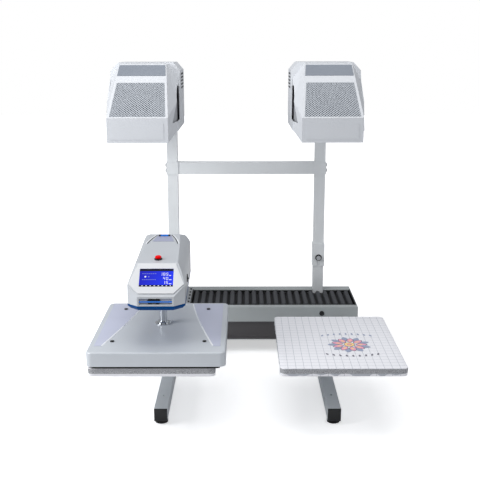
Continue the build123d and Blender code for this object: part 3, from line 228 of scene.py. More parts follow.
def pleats(x0, x1):
    """Pleated cloth from x0 to x1.

    A flat-topped wave along X, z = low + height * clip(flat * tri - end), where tri runs 0, 1, 0
    over a pleat and end grows from 0 to flat over the last 2 cm, so every pleat ends in a point.
    """
    a = np.linspace(0.0, 1.0, BELLOWS_PLEATS * PLEAT_STEPS + 1)[:, None]
    b = np.linspace(0.0, 1.0, PLEAT_ROWS)[None, :]
    y = BELLOWS_Y[0] + (BELLOWS_Y[1] - BELLOWS_Y[0]) * b
    phase = (a * BELLOWS_PLEATS) % 1.0
    tri = 1.0 - np.abs(2.0 * phase - 1.0)
    reach = np.minimum(y - BELLOWS_Y[0], BELLOWS_Y[1] - y)
    end = PLEAT_FLAT * np.clip(1.0 - reach / POINT_LENGTH, 0.0, 1.0)
    lift = np.clip(PLEAT_FLAT * tri - end, 0.0, 1.0)
    sag = PLEAT_SAG * np.sin(pi * b) * np.cos(2.0 * pi * phase)
    z = BELLOWS_Z[0] + (BELLOWS_Z[1] - BELLOWS_Z[0]) * lift - np.abs(sag)
    x = x0 + (x1 - x0) * a
    return np.stack(np.broadcast_arrays(x, y, np.maximum(z, BELLOWS_Z[0])), -1)


def cloth_shaded_by_height():
    """Painted shade black low in the folds and painted light grey on the pleats' tops, by height, with a
    fine weave.
    """
    material = made_surface("bellows_cloth_shaded_by_height", linear(60, 61, 66), 0.55, grain=1500.0, relief=0.0003)
    tree = material.node_tree
    span = add_node(tree, "ShaderNodeMapRange", {
        "Value": object_axes(tree)["Z"], "From Min": BELLOWS_Z[0], "From Max": BELLOWS_Z[1],
    })
    shade = ramp(tree, span.outputs["Result"], linear(6, 6, 7), linear(54, 56, 61))
    feed(shader_of(material), {"Base Color": shade})
    return material


# The way covers' colour is painted shade in the folds and painted light on the pleats' tops.
pleat_cloth = cloth_shaded_by_height()
right_low, right_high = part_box("bellows_right")
left_low, left_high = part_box("bellows_left")
way_cover_right = grid_mesh("way_cover_right", pleats(right_low.x, right_high.x), pleat_cloth)
way_cover_left = grid_mesh("way_cover_left", pleats(left_low.x, left_high.x), pleat_cloth)
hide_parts("bellows_right")
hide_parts("bellows_left")
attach(way_cover_right, "base")
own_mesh(way_cover_right)
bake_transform(way_cover_left)
dress(black_moulding, "bellows_plates_fixed", "bellows_plates_moving")


# Lower platens
# Aluminium plates bolted to welded arms, with an orange-brown silicone sponge pad on top.
# They hold the slip-on covers that the garment is laid on.

sponge = made_surface("silicone_sponge", linear(196, 120, 78), 0.8, grain=300.0, relief=0.0005)
zinc = made_surface("zinc_plating", linear(178, 180, 184), 0.3, metal=1.0, drift=0.04)
dress(leg_paint, "platen_arms")
dress(zinc, "arm_bolts")
dress(milled_aluminium, "lower_platens")
dress(sponge, "silicone_pads")


# Platen cloths
# Fitted covers of thin white cloth over a grey heather side band, gathered by a white
# elastic hem that ripples a little below the platen's edge.

CLOTH_CORNER = 0.017
CLOTH_INSET = 0.0015
CLOTH_TURNS = 420
EDGE_ROUND = 0.0035
TOP_RINGS, EDGE_RINGS, SKIRT_RINGS = 14, 5, 14
INNERMOST = 0.004
SIDE_SHARPNESS = 12
HEM_DROP = 0.0270
HEM_PULL = 0.0015
HEM_TUCK = 0.003
WAVES = (7, 13, 19, 26, 38)
WAVE_SHARE = 0.3
WAVE_OUT, WAVE_UP = 0.0016, 0.0009
HEATHER_BOTTOM, HEATHER_TOP = 0.2415, 0.2575
INCH = 0.0254
LINE_HALF = 0.0007


def half_across(turn, straight_x, straight_y):
    """Half of the straight side that lies across the one being walked."""
    return (straight_x if turn % 2 == 0 else straight_y) / 2


def rounded_path(width, length, radius, count):
    """Points round a rounded rectangle, even along its length, as an array of x, y."""
    straight_x, straight_y = width - 2 * radius, length - 2 * radius
    corner = radius * pi / 2
    total = 2 * (straight_x + straight_y) + 4 * corner
    points = []
    for distance in np.linspace(0.0, total, count, endpoint=False):
        at, turn = distance, 0
        for side in (straight_y, straight_x, straight_y, straight_x):
            if at < corner:
                angle = at / radius - pi / 2
                local = (radius * cos(angle), radius * sin(angle))
                centre = (half_across(turn, straight_x, straight_y), -side / 2)
                point = (centre[0] + local[0], centre[1] + local[1])
                break
            at -= corner
            if at < side:
                point = (half_across(turn, straight_x, straight_y) + radius, -side / 2 + at)
                break
            at -= side
            turn += 1
        c, s = ((1, 0), (0, 1), (-1, 0), (0, -1))[min(turn, 3)]
        points.append((point[0] * c - point[1] * s, point[0] * s + point[1] * c))
    return np.array(points)


def fitted_cloth(low, high, seed):
    """Top, rounded edge and skirt of a fitted cover, as rings from its middle to its hem.

    Each ring is the rounded outline drawn in by an inset; below the edge the skirt moves out
    and in by a sum of five sine waves with seeded phases, which grow towards the hem.
    """
    draw = np.random.default_rng(seed)
    width, length = high.x - low.x - 2 * CLOTH_INSET, high.y - low.y - 2 * CLOTH_INSET
    middle = np.array([(low.x + high.x) / 2, (low.y + high.y) / 2])
    outline = rounded_path(width, length, CLOTH_CORNER, CLOTH_TURNS)
    outward = outline / np.array([width / 2, length / 2])
    outward = np.sign(outward) * np.abs(outward) ** SIDE_SHARPNESS
    outward /= np.linalg.norm(outward, axis=1)[:, None]
    turn = np.linspace(0.0, 2 * pi, CLOTH_TURNS, endpoint=False)
    ripple = np.zeros(CLOTH_TURNS)
    for waves in WAVES:
        ripple += np.sin(waves * turn + draw.uniform(0, 2 * pi)) * draw.uniform(0.4, 1.0)
    ripple *= WAVE_SHARE
    top = high.z
    rings = []
    for share in np.linspace(INNERMOST, 1.0, TOP_RINGS):
        inner = outline * share * (1 - 2 * EDGE_ROUND / length) + middle
        rings.append(np.column_stack([inner, np.full(CLOTH_TURNS, top)]))
    for angle in np.linspace(0.0, pi / 2, EDGE_RINGS)[1:]:
        ring = outline - outward * EDGE_ROUND * (1 - sin(angle)) + middle
        z = top - EDGE_ROUND * (1 - cos(angle))
        rings.append(np.column_stack([ring, np.full(CLOTH_TURNS, z)]))
    for share in np.linspace(0.0, 1.0, SKIRT_RINGS)[1:]:
        move = (WAVE_OUT * ripple * share ** 1.5 - HEM_PULL * share)[:, None]
        z = top - EDGE_ROUND - (HEM_DROP - EDGE_ROUND) * share + WAVE_UP * ripple * share
        rings.append(np.column_stack([outline + outward * move + middle, z]))
    tuck = rings[-1].copy()
    tuck[:, :2] -= outward * HEM_TUCK
    rings.append(tuck)
    return np.array(rings)


def mixed(tree, share, first, second):
    """Colour that is the first where the share is 0 and the second where it is 1."""
    node = add_node(tree, "ShaderNodeMix", {0: share}, data_type="RGBA")
    feed(node, {6: first, 7: second})
    return node.outputs[2]


def ruled_lines(tree, axes, middle):
    """1 on the lines of a grid of one-inch squares about a middle point, and 0 beside them."""
    lines = []
    for axis, start in zip("XY", middle):
        shift = calc(tree, "SUBTRACT", axes[axis], start)
        lines.append(calc(tree, "LESS_THAN", calc(tree, "PINGPONG", shift, INCH / 2), LINE_HALF))
    return calc(tree, "MAXIMUM", *lines)


def cloth_finish(name, ruled):
    """White weave with a grey heather band by height; ruled cloth has a grid of one-inch squares."""
    material, tree, shader = new_material(name)
    axes = object_axes(tree)
    noise = add_node(tree, "ShaderNodeTexNoise", {
        "Vector": object_place(tree), "Scale": 420.0, "Detail": 4.0, "Roughness": 0.8,
    })
    fleck = noise.outputs["Fac"]
    heather = ramp(tree, fleck, linear(98, 100, 104), linear(192, 193, 197), 0.38, 0.62)
    white = ramp(tree, fleck, linear(222, 223, 229), linear(238, 238, 242))
    if ruled:
        low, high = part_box("platen_cloth_right")
        lines = ruled_lines(tree, axes, ((low.x + high.x) / 2, (low.y + high.y) / 2))
        white = mixed(tree, lines, white, linear(176, 180, 188))
    above = calc(tree, "GREATER_THAN", axes["Z"], HEATHER_BOTTOM)
    below = calc(tree, "LESS_THAN", axes["Z"], HEATHER_TOP)
    colour = mixed(tree, calc(tree, "MULTIPLY", above, below), white, heather)
    weave = add_node(tree, "ShaderNodeBump", {"Height": fleck, "Strength": 0.4, "Distance": 0.0003})
    feed(shader, {
        "Roughness": 0.85, "Sheen Weight": 0.15, "Base Color": colour, "Normal": weave.outputs["Normal"],
    })
    return material


for side, ruled, seed in (("left", False, 11), ("right", True, 23)):
    low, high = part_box("platen_cloth_" + side)
    finish = cloth_finish("platen_cloth_weave_" + side, ruled)
    cloth = grid_mesh("fitted_cloth_" + side, fitted_cloth(low, high, seed), finish, around=True)
    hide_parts("platen_cloth_" + side)
    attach(cloth, "base")


# Sample print
# A transfer laid on the right cover: a round flower between two rows of small leaves,
# in pink, orange, grey-blue and dark grey inks on the ruled cloth.

PRINT_CENTRE = (0.352, -0.348)
PRINT_LIFT = 0.0004
SHAPE_STEP = 0.00001
PETALS = 9
INKS = {
    "pink": linear(228, 158, 184),
    "orange": linear(246, 204, 138),
    "blue": linear(150, 160, 184),
    "dark": linear(116, 114, 126),
}

PETAL_SHAPES = (
    ("blue", 0.5, 0.034, 0.074, 0.0110), ("dark", 0.0, 0.020, 0.062, 0.0125),
    ("pink", 0.0, 0.023, 0.059, 0.0100), ("orange", 0.0, 0.030, 0.047, 0.0040),
)
RINGS = (("dark", 0.0185), ("orange", 0.0165), ("dark", 0.0075), ("pink", 0.0060))
LEAVES = range(-4, 5)
LEAF_STEP = 0.021
LEAF_ROW = 0.104
LEAF_ROW_BEND = 0.0010
LEAF_FAN = 0.35
LEAF_REACH, LEAF_WIDTH = 0.009, 0.0034


def petal(centre, angle, near, far, width, count=14):
    """Leaf outline from near to far along an angle: half-width = width * sin(pi t) ** 0.8."""
    t = np.linspace(0.0, 1.0, count)
    along = near + (far - near) * t
    half = width * np.sin(pi * t) ** 0.8
    sides = np.concatenate([np.column_stack([along, half]), np.column_stack([along, -half])[::-1][1:-1]])
    c, s = cos(angle), sin(angle)
    return sides @ np.array([[c, s], [-s, c]]) + np.array(centre)


def print_shapes():
    """The flower's petals and rings and the rows of leaves, each with its ink."""
    shapes = []
    for i in range(PETALS):
        for ink, shift, near, far, width in PETAL_SHAPES:
            angle = 2 * pi * (i + shift) / PETALS
            shapes.append((ink, petal(PRINT_CENTRE, angle, near, far, width)))
    ring = np.linspace(0.0, 2 * pi, 36, endpoint=False)
    for ink, radius in RINGS:
        shapes.append((ink, np.column_stack([np.cos(ring), np.sin(ring)]) * radius + PRINT_CENTRE))
    for row, ink in ((-1, "dark"), (1, "blue")):
        for i in LEAVES:
            x = PRINT_CENTRE[0] + i * LEAF_STEP
            y = PRINT_CENTRE[1] + row * (LEAF_ROW - LEAF_ROW_BEND * i ** 2)
            angle = pi / 2 + LEAF_FAN * row * i / max(LEAVES)
            shapes.append((ink, petal((x, y), angle, -LEAF_REACH, LEAF_REACH, LEAF_WIDTH)))
    return shapes


def ink_finish():
    """Matt ink that reads each shape's colour from the mesh."""
    material = made_surface("transfer_ink", linear(200, 200, 200), 0.7)
    ink = add_node(material.node_tree, "ShaderNodeAttribute", attribute_name="ink")
    feed(shader_of(material), {"Base Color": ink.outputs["Color"]})
    return material


def flat_shapes(name, shapes, place, material):
    """One mesh of flat polygons, each lifted a hair above the last, coloured face by face."""
    points, faces, colours = [], [], []
    for order, (colour, outline) in enumerate(shapes):
        faces.append(list(range(len(points), len(points) + len(outline))))
        points += [tuple(place(x, y, order)) for x, y in outline]
        colours += list(colour) * len(outline)
    mesh = bpy.data.meshes.new(name)
    mesh.from_pydata(points, [], faces)
    mesh.color_attributes.new("ink", "FLOAT_COLOR", "CORNER").data.foreach_set("color", colours)
    return add_piece(name, mesh, material)


def on_cloth(x, y, order):
    """Place of a point of the print, a little higher for each shape laid on."""
    return x, y, cloth_top + PRINT_LIFT + order * SHAPE_STEP


cloth_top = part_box("platen_cloth_right")[1].z
inked = [(INKS[ink], outline) for ink, outline in print_shapes()]
sample_print = flat_shapes("sample_print", inked, on_cloth, ink_finish())
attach(sample_print, "base")


# Posts and crossbar
# Square tubes with the frame's coat. Slotted sleeves join the upper posts to the lower
# ones and clamp on a bolt; the crossbar's collars are bolted through the upper posts.

post_paint = made_surface("post_paint_coat", linear(226, 229, 231), 0.42, drift=0.03)
dress(post_paint, "lower_posts", "upper_posts", "post_sleeves", "crossbar", "hood_brackets")
dress(zinc, "crossbar_bolts")

MIDDLE_X = 0.0055
BOLT_X, BOLT_Z = 0.315, 0.347
DARK_RING_FROM, DARK_RING_TO = 0.0098, 0.0104


def clamp_bolt_finish():
    """Zinc head with a dark ring round it, told apart by the distance from the bolt's own axis."""
    material = made_surface("clamp_bolt_plating", linear(190, 192, 195), 0.3, metal=0.9)
    tree = material.node_tree
    place = object_place(tree)
    for operation, operand in (
        ("SUBTRACT", (MIDDLE_X, 0.0, BOLT_Z)), ("ABSOLUTE", (0.0, 0.0, 0.0)),
        ("SUBTRACT", (BOLT_X, 0.0, 0.0)), ("MULTIPLY", (1.0, 0.0, 1.0)),
    ):
        step = add_node(tree, "ShaderNodeVectorMath", {0: place, 1: operand}, operation=operation)
        place = step.outputs["Vector"]
    radius = add_node(tree, "ShaderNodeVectorMath", {0: place}, operation="LENGTH")
    share = add_node(tree, "ShaderNodeMapRange", {
        "Value": radius.outputs["Value"], "From Min": DARK_RING_FROM, "From Max": DARK_RING_TO,
    })
    shade = ramp(tree, share.outputs["Result"], linear(196, 198, 201), linear(28, 28, 30))
    feed(shader_of(material), {"Base Color": shade})
    return material


dress(clamp_bolt_finish(), "post_bolts")


# Projector hoods
# Two moulded shells, near white with a fine texture: a front cover with a sloped brow and
# a wide rear shell. The projector inside shines down through the opening in the floor.

hood_plastic = made_surface("hood_moulding", linear(204, 207, 212), 0.45, drift=0.015, grain=450.0)
brow_plate = made_surface("brow_plate", linear(120, 127, 138), 0.4, drift=0.04)
dress(hood_plastic, "hood_front_left", "hood_front_right", "hood_rear_left", "hood_rear_right")
projector_case = made_surface("projector_case", linear(150, 153, 158), 0.42)
dress(brow_plate, "hood_top_panels")
dress(projector_case, "projectors")


# Hood grilles
# Fine expanded metal in the brow's window: diamonds 9 mm wide between flattened strands,
# with a grey dust filter behind them.

DIAMOND = (0.0104, 0.0108)
STRAND = 0.0026
STRAND_THICK = 0.0008
STRAND_LIFT = {-1: 0.0001, 1: 0.0006}
SHORTEST = 0.002
EDGE_BAND = 0.004
FILTER_DEPTH = 0.004
FILTER_THICK = 0.002


def clip_line(start, end):
    """The part of a line whose first coordinate lies from 0 to 1, or None."""
    (u0, v0), (u1, v1) = start, end
    t0, t1 = sorted(((0.0 - u0) / (u1 - u0), (1.0 - u0) / (u1 - u0)))
    t0, t1 = max(t0, 0.0), min(t1, 1.0)
    if t0 >= t1:
        return None
    return [(u0 + (u1 - u0) * t, v0 + (v1 - v0) * t) for t in (t0, t1)]


def field_point(field, u, v):
    """The point at shares u across and v up a field with four corners."""
    return field[0].lerp(field[1], u).lerp(field[3].lerp(field[2], u), v)


def net_strands(field, normal):
    """Strands of a diamond net over a four-cornered field, as boxes with eight corners each.

    Corners run bottom left, bottom right, top right, top left. In the field's own u and v
    each strand is a line u = step / columns +- v * rows / columns, cut where it leaves.
    """
    across = field[1] - field[0]
    up = (field[3] + field[2] - field[0] - field[1]) / 2
    columns, rows = round(across.length / DIAMOND[0]), round(up.length / DIAMOND[1])
    boxes = []
    for direction in (-1, 1):
        for step in range(-rows, columns + rows + 1):
            start = step / columns
            ends = clip_line((start, 0.0), (start + direction * rows / columns, 1.0))
            if ends is None:
                continue
            p, q = (field_point(field, u, v) for u, v in ends)
            if (q - p).length < SHORTEST:
                continue
            side = (q - p).normalized().cross(normal) * STRAND / 2
            outline = [p - side, q - side, q + side, p + side]
            front = normal * STRAND_LIFT[direction]
            back = front - normal * STRAND_THICK
            boxes.append([corner + move for move in (front, back) for corner in outline])
    return boxes


def edge_ends(points):
    """Left and right end of the highest line through the points along an edge."""
    crest = points[points[:, 2].argmax()]
    return [Vector((x, crest[1], crest[2])) for x in (points[:, 0].min(), points[:, 0].max())]


def boxes_mesh(name, boxes, material):
    """One mesh of many eight-cornered boxes."""
    sides = [(0, 1, 2, 3), (7, 6, 5, 4), (0, 4, 5, 1), (1, 5, 6, 2), (2, 6, 7, 3), (3, 7, 4, 0)]
    points = [tuple(corner) for box in boxes for corner in box]
    faces = [[8 * i + k for k in side] for i in range(len(boxes)) for side in sides]
    mesh = bpy.data.meshes.new(name)
    mesh.from_pydata(points, [], faces)
    return add_piece(name, mesh, material)


net_metal = made_surface("net_metal", linear(176, 181, 188), 0.4, metal=0.2, drift=0.02)
filter_felt = made_surface("filter_felt", linear(92, 100, 112), 0.9, grain=260.0, relief=0.0006)
grille_vertices = np.array([v.co for v in nodes["hood_grilles"].data.vertices])
strands, felts = [], []
for side in (-1, 1):
    mine = grille_vertices[grille_vertices[:, 0] * side > 0]
    bottom_left, bottom_right = edge_ends(mine[mine[:, 1] < mine[:, 1].min() + EDGE_BAND])
    top_left, top_right = edge_ends(mine[mine[:, 1] > mine[:, 1].max() - EDGE_BAND])
    field = [bottom_left, bottom_right, top_right, top_left]
    normal = (bottom_right - bottom_left).cross(top_left - bottom_left).normalized()
    strands += net_strands(field, normal)
    depths = (FILTER_DEPTH, FILTER_DEPTH + FILTER_THICK)
    felts.append([corner - normal * depth for depth in depths for corner in field])
grille_net = boxes_mesh("grille_net", strands, net_metal)
grille_filter = boxes_mesh("grille_filter", felts, filter_felt)
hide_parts("hood_grilles")
for piece in (grille_net, grille_filter):
    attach(piece, "mast")


# Hood vents
# Each rear shell has five level slots in its inner wall. Here a thin moulded plate lies on
# the wall, and black strips on it are painted shade for the dark openings of the slots.

SHELL_SIDE = (-0.2495, 0.1765)
VENT_PLATE = (0.254, 0.398, 1.046, 1.151)
VENT_PLATE_THICK = 0.0007
VENT_Y = (0.263, 0.388)
VENT_Z = [1.090 + 0.013 * i for i in range(5)]
VENT_HALF = 0.0032
VENT_LIFT, VENT_THICK = 0.0011, 0.0008


def side_slab(x, outward, lift, thick, y0, y1, z0, z1):
    """Flat box on a hood's inner side, its outer face a lift away from the wall."""
    ends = [x + outward * lift, x + outward * (lift - thick)]
    return [Vector((end, y, z)) for end in ends for y, z in ((y0, z0), (y1, z0), (y1, z1), (y0, z1))]


# Each slot is drawn as a black strip: painted shade where its opening is dark.
vent_plates, slot_shades = [], []
for x, outward in zip(SHELL_SIDE, (1, -1)):
    vent_plates.append(side_slab(x, outward, VENT_PLATE_THICK, VENT_PLATE_THICK, *VENT_PLATE))
    for z in VENT_Z:
        slot_shades.append(side_slab(x, outward, VENT_LIFT, VENT_THICK, *VENT_Y, z - VENT_HALF, z + VENT_HALF))
vent_plate = boxes_mesh("vent_plates", vent_plates, hood_plastic)
vent_slot_shades = boxes_mesh("vent_slot_shades", slot_shades, black_moulding)
for piece, slot in ((vent_plate, "white_plastic"), (vent_slot_shades, "black_plastic")):
    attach(piece, "mast")


# Carriage and arm
# A milled plate on the bearing blocks carries a cast gooseneck that reaches forward into
# the head. Black button-head screws hold the plate's edges.

black_oxide = made_surface("black_oxide", linear(30, 30, 31), 0.35, metal=0.6)
dress(milled_aluminium, "carriage_plate")
dress(black_oxide, "carriage_screws")
dress(leg_paint, "head_arm")


# Head
# A silver-grey painted housing over the pressing cylinder, with a white control face, a
# blue tray that closes it from below, and a metal recess in its nose.

HEAD_X = -0.2845
BAR_BLUE_HALF = 0.0135
UPPER_BAR_FROM = 0.52
MATT_SPECULAR = 0.06


def bar_finish():
    """Blue glass; on the upper bar only the middle is blue and the ends are black."""
    material = made_surface("bar_blue", linear(0, 112, 214), 0.25, coat=0.4)
    tree = material.node_tree
    axes = object_axes(tree)
    reach = calc(tree, "ABSOLUTE", calc(tree, "SUBTRACT", axes["X"], HEAD_X))
    end = calc(tree, "GREATER_THAN", reach, BAR_BLUE_HALF)
    upper = calc(tree, "GREATER_THAN", axes["Z"], UPPER_BAR_FROM)
    black = calc(tree, "MULTIPLY", end, upper)
    feed(shader_of(material), {"Base Color": mixed(tree, black, linear(0, 112, 214), linear(14, 15, 18))})
    return material


head_paint = made_surface("head_paint", linear(184, 188, 193), 0.38, metal=0.1, drift=0.03, coat=0.15)
face_white = made_surface("control_face", linear(207, 209, 212), 0.4, drift=0.015, coat=0.1)
trim_blue = made_surface("trim_blue", linear(0, 62, 120), 0.42, drift=0.06)
inset_tint = made_surface("inset_tint", linear(152, 156, 178), 0.4, drift=0.03)
recess_metal = made_surface("recess_metal", linear(214, 217, 221), 0.35, metal=0.3)
button_red = made_surface("button_red", linear(222, 0, 4), 0.5, drift=0.03)
for matt in (trim_blue, button_red):
    feed(shader_of(matt), {"Specular IOR Level": MATT_SPECULAR})
dress(head_paint, "head_housing")
dress(face_white, "head_bezel")
dress(trim_blue, "head_trim")
dress(inset_tint, "top_inset")
dress(recess_metal, "recess_tray", "air_cylinder")
dress(bar_finish(), "light_bars")
dress(black_moulding, "catch_block", "switch_bezel", "power_rocker", "stop_collar")
dress(button_red, "stop_button")


# Head grooves
# Two curved grooves run along the top of the head's housing beside its tinted plate, each
# with a pale rolled rim at its outer side. A flat dark strip draped on the housing is
# painted shade for each groove, and a pale strip beside it marks the rim.

GROOVE_LIFT = 0.0004
GROOVE_POINTS = ((0.052, -0.250, 1.0), (0.042, -0.205, 1.0), (0.026, -0.160, 0.7))
# The groove strip's dark colour is painted shade for the groove's hollow.
groove_shade = made_surface("groove_shade", linear(44, 46, 50), 0.6)
rim_white = made_surface("rim_white", linear(240, 242, 245), 0.35)
GROOVE_STRIPS = (("groove", 0.0, 0.0035, groove_shade), ("rim", 0.0045, 0.0030, rim_white))


def draped_strip(name, path, width, lift, over, material):
    """A ribbon along a path of x, y points, let down onto the CAD nodes under it.

    Its two edges lie half the width to both sides of the path, a lift above the highest hit.
    """
    trees = []
    for node in over:
        mesh = nodes[node].data
        corners = [vertex.co for vertex in mesh.vertices]
        trees.append(BVHTree.FromPolygons(corners, [face.vertices for face in mesh.polygons]))
    along = np.gradient(path, axis=0)
    across = np.column_stack([-along[:, 1], along[:, 0]]) / np.linalg.norm(along, axis=1)[:, None]
    rows = []
    for point, side in zip(path, across):
        row = []
        for share in (-0.5, 0.0, 0.5):
            x, y = point + side * width * share
            hits = [tree.ray_cast(Vector((x, y, 2.0)), Vector((0.0, 0.0, -1.0)))[0] for tree in trees]
            row.append((x, y, max(hit.z for hit in hits if hit) + lift))
        rows.append(row)
    return grid_mesh(name, np.array(rows), material)


def arc_path(start, middle, end, count=28):
    """Curve from start to end that passes through middle, as a quadratic through three points."""
    t = np.linspace(0.0, 1.0, count)[:, None]
    start, middle, end = (np.array(point) for point in (start, middle, end))
    bend = 2 * middle - (start + end) / 2
    return (1 - t) ** 2 * start + 2 * t * (1 - t) * bend + t ** 2 * end


for side, label in ((-1, "left"), (1, "right")):
    for part, offset, width, finish in GROOVE_STRIPS:
        path = arc_path(*((HEAD_X + side * (x + offset * share), y) for x, y, share in GROOVE_POINTS))
        strip = draped_strip(part + "_" + label, path, width, GROOVE_LIFT, ("head_housing",), finish)
        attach(strip, "carriage")


# Screen
# A glass touch screen behind the control face. It shows plain values: a dark bar at top
# and bottom, three numbers, two lines with dots, and a row of small keys.

SCREEN_MIDDLE = Vector((HEAD_X, -0.4710, 0.5310))
SCREEN_ACROSS = Vector((1.0, 0.0, 0.0))
SCREEN_UP = Vector((0.0, 1.0, 1.0)).normalized()
SCREEN_OUT = Vector((0.0, -1.0, 1.0)).normalized()
SCREEN_LIFT = 0.0021
MARK_STEP = 0.000004
GLOW_SLANT = -0.7
GLOW_SPAN = (-0.724, -0.596)
BAR_HALF = 0.0538
DARK_BARS = ((0.0240, 0.0323), (-0.0323, -0.0262))
DIGIT_HEIGHT = 0.0102
DIGIT_WIDTH, DIGIT_BAR, DIGIT_GAP = 0.60, 0.12, 0.34
DIGIT_RAISE = 0.0008
NUMBERS_RIGHT = 0.0375
UNIT_LEFT, UNIT_HEIGHT = 0.0405, 0.0024
NUMBERS = (("185", 0.0070, 0.0060), ("40", -0.0085, 0.0080), ("15", -0.0232, 0.0080))
SEGMENTS = {"0": "abcdef", "1": "bc", "4": "fgbc", "5": "afgcd", "8": "abcdefg"}
ROW_LEFT = -0.0455
TEXT_ROWS, TEXT_COUNT, TEXT_STEP, TEXT_SIZE = (0.0135, -0.0082), 7, 0.0066, (0.0050, 0.0020)
KEY_ROW, KEY_COUNT, KEY_STEP, KEY_SIZE = -0.0308, 8, 0.0128, (0.0036, 0.0030)
WHITE_DOT, GREY_DOT = (-0.0350, 0.0035, 0.0029), (-0.0245, 0.0035, 0.0024)


def rectangle(x0, x1, y0, y1):
    """Corners of a rectangle."""
    return np.array([(x0, y0), (x1, y0), (x1, y1), (x0, y1)])


def dash(x, y, width, height):
    """A small rectangle from its lower left corner."""
    return rectangle(x, x + width, y, y + height)


def disc(x, y, radius):
    """Outline of a disc."""
    angle = np.linspace(0.0, 2 * pi, 20, endpoint=False)
    return np.column_stack([x + radius * np.cos(angle), y + radius * np.sin(angle)])


def number(text, right, base, height):
    """Seven-part digits that end at `right`, as rectangles."""
    width, bar, gap = height * DIGIT_WIDTH, height * DIGIT_BAR, height * DIGIT_GAP
    mid, top = base + height / 2, base + height
    shapes = []
    for place, digit in enumerate(reversed(text)):
        x1 = right - place * (width + gap)
        x0 = x1 - width
        parts = {
            "a": (x0, x1, top - bar, top), "d": (x0, x1, base, base + bar),
            "g": (x0, x1, mid - bar / 2, mid + bar / 2),
            "b": (x1 - bar, x1, mid, top), "c": (x1 - bar, x1, base, mid),
            "f": (x0, x0 + bar, mid, top), "e": (x0, x0 + bar, base, mid),
        }
        shapes += [rectangle(*parts[name]) for name in SEGMENTS[digit]]
    return shapes


def screen_shapes():
    """Everything shown on the screen, in metres from its middle."""
    white, grey, black = linear(245, 247, 255), linear(120, 130, 200), linear(8, 10, 18)
    shapes = [(black, rectangle(-BAR_HALF, BAR_HALF, low, high)) for low, high in DARK_BARS]
    for text, base, unit in NUMBERS:
        shapes += [(white, part) for part in number(text, NUMBERS_RIGHT, base + DIGIT_RAISE, DIGIT_HEIGHT)]
        shapes.append((white, dash(UNIT_LEFT, base, unit, UNIT_HEIGHT)))
    for y in TEXT_ROWS:
        shapes += [(grey, dash(ROW_LEFT + i * TEXT_STEP, y, *TEXT_SIZE)) for i in range(TEXT_COUNT)]
    shapes.append((white, disc(*WHITE_DOT)))
    shapes.append((grey, disc(*GREY_DOT)))
    shapes += [(white, dash(ROW_LEFT + i * KEY_STEP, KEY_ROW, *KEY_SIZE)) for i in range(KEY_COUNT)]
    return shapes


def lit_glass():
    """Blue glow that goes from navy at the upper left to bright blue at the lower right."""
    material = made_surface("lit_glass", linear(10, 10, 20), 0.45)
    tree = material.node_tree
    axes = object_axes(tree)
    slant = calc(tree, "MULTIPLY_ADD", axes["Z"], GLOW_SLANT, axes["X"])
    span = add_node(tree, "ShaderNodeMapRange", {
        "Value": slant, "From Min": GLOW_SPAN[0], "From Max": GLOW_SPAN[1],
    })
    glow = ramp(tree, span.outputs["Result"], linear(5, 6, 186), linear(20, 54, 255))
    feed(shader_of(material), {
        "Emission Color": glow, "Emission Strength": 0.95, "Specular IOR Level": 0.15,
    })
    return material


def glowing_marks():
    """Marks that shine in the colour of each shape."""
    material = made_surface("glowing_marks", linear(10, 10, 12), 0.3)
    ink = add_node(material.node_tree, "ShaderNodeAttribute", attribute_name="ink")
    feed(shader_of(material), {
        "Emission Color": ink.outputs["Color"], "Emission Strength": 1.0, "Specular IOR Level": 0.1,
    })
    return material


def on_screen(x, y, order):
    """Place of a point of the display, a little further out for each mark laid on."""
    lift = SCREEN_LIFT + order * MARK_STEP
    return SCREEN_MIDDLE + SCREEN_ACROSS * x + SCREEN_UP * y + SCREEN_OUT * lift


dress(lit_glass(), "screen")
screen_marks = flat_shapes("screen_marks", screen_shapes(), on_screen, glowing_marks())
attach(screen_marks, "carriage")


# Press
# A chromed ram with a round flange carries the heated platen. A painted cover with two
# tinted panels hides its insulation; the heated plate has a dark non-stick coat.

RIM_POINTS = ((0.1785, -0.5045), (0.1235, -0.2665), (0.0915, -0.0695))
RIM_WIDTH, RIM_LIFT = 0.0050, 0.0003

chrome = made_surface("chrome_plate", linear(205, 208, 212), 0.12, metal=1.0, drift=0.02, relief=0.00002)
cover_paint = made_surface("cover_paint_coat", linear(194, 199, 205), 0.36, metal=0.1, drift=0.03)
non_stick = made_surface("non_stick_coat", linear(22, 19, 17), 0.5, drift=0.08)
feed(shader_of(non_stick), {"Specular IOR Level": 0.1})
board = made_surface("insulation_fibre", linear(198, 186, 160), 0.85)
lavender = made_surface("lavender_tint", linear(186, 190, 208), 0.4, drift=0.03)
cover_rim = made_surface("cover_rim", linear(232, 235, 239), 0.35)
dress(chrome, "press_ram", "press_flange")
dress(cover_paint, "heat_cover")
dress(lavender, "cover_insets")
dress(black_oxide, "cover_screws")
dress(non_stick, "heated_plate")
dress(board, "insulation_board")

for side, label in ((-1, "left"), (1, "right")):
    path = arc_path(*((HEAD_X + side * x, y) for x, y in RIM_POINTS))
    strip = draped_strip(
        "inset_rim_" + label, path, RIM_WIDTH, RIM_LIFT, ("heat_cover", "cover_insets"), cover_rim,
    )
    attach(strip, "press")


# Studio
# A plain pale floor, soft light from a large lamp at the left, one overhead and a weaker
# one at the right, with a white surround, seen from in front and a little above.

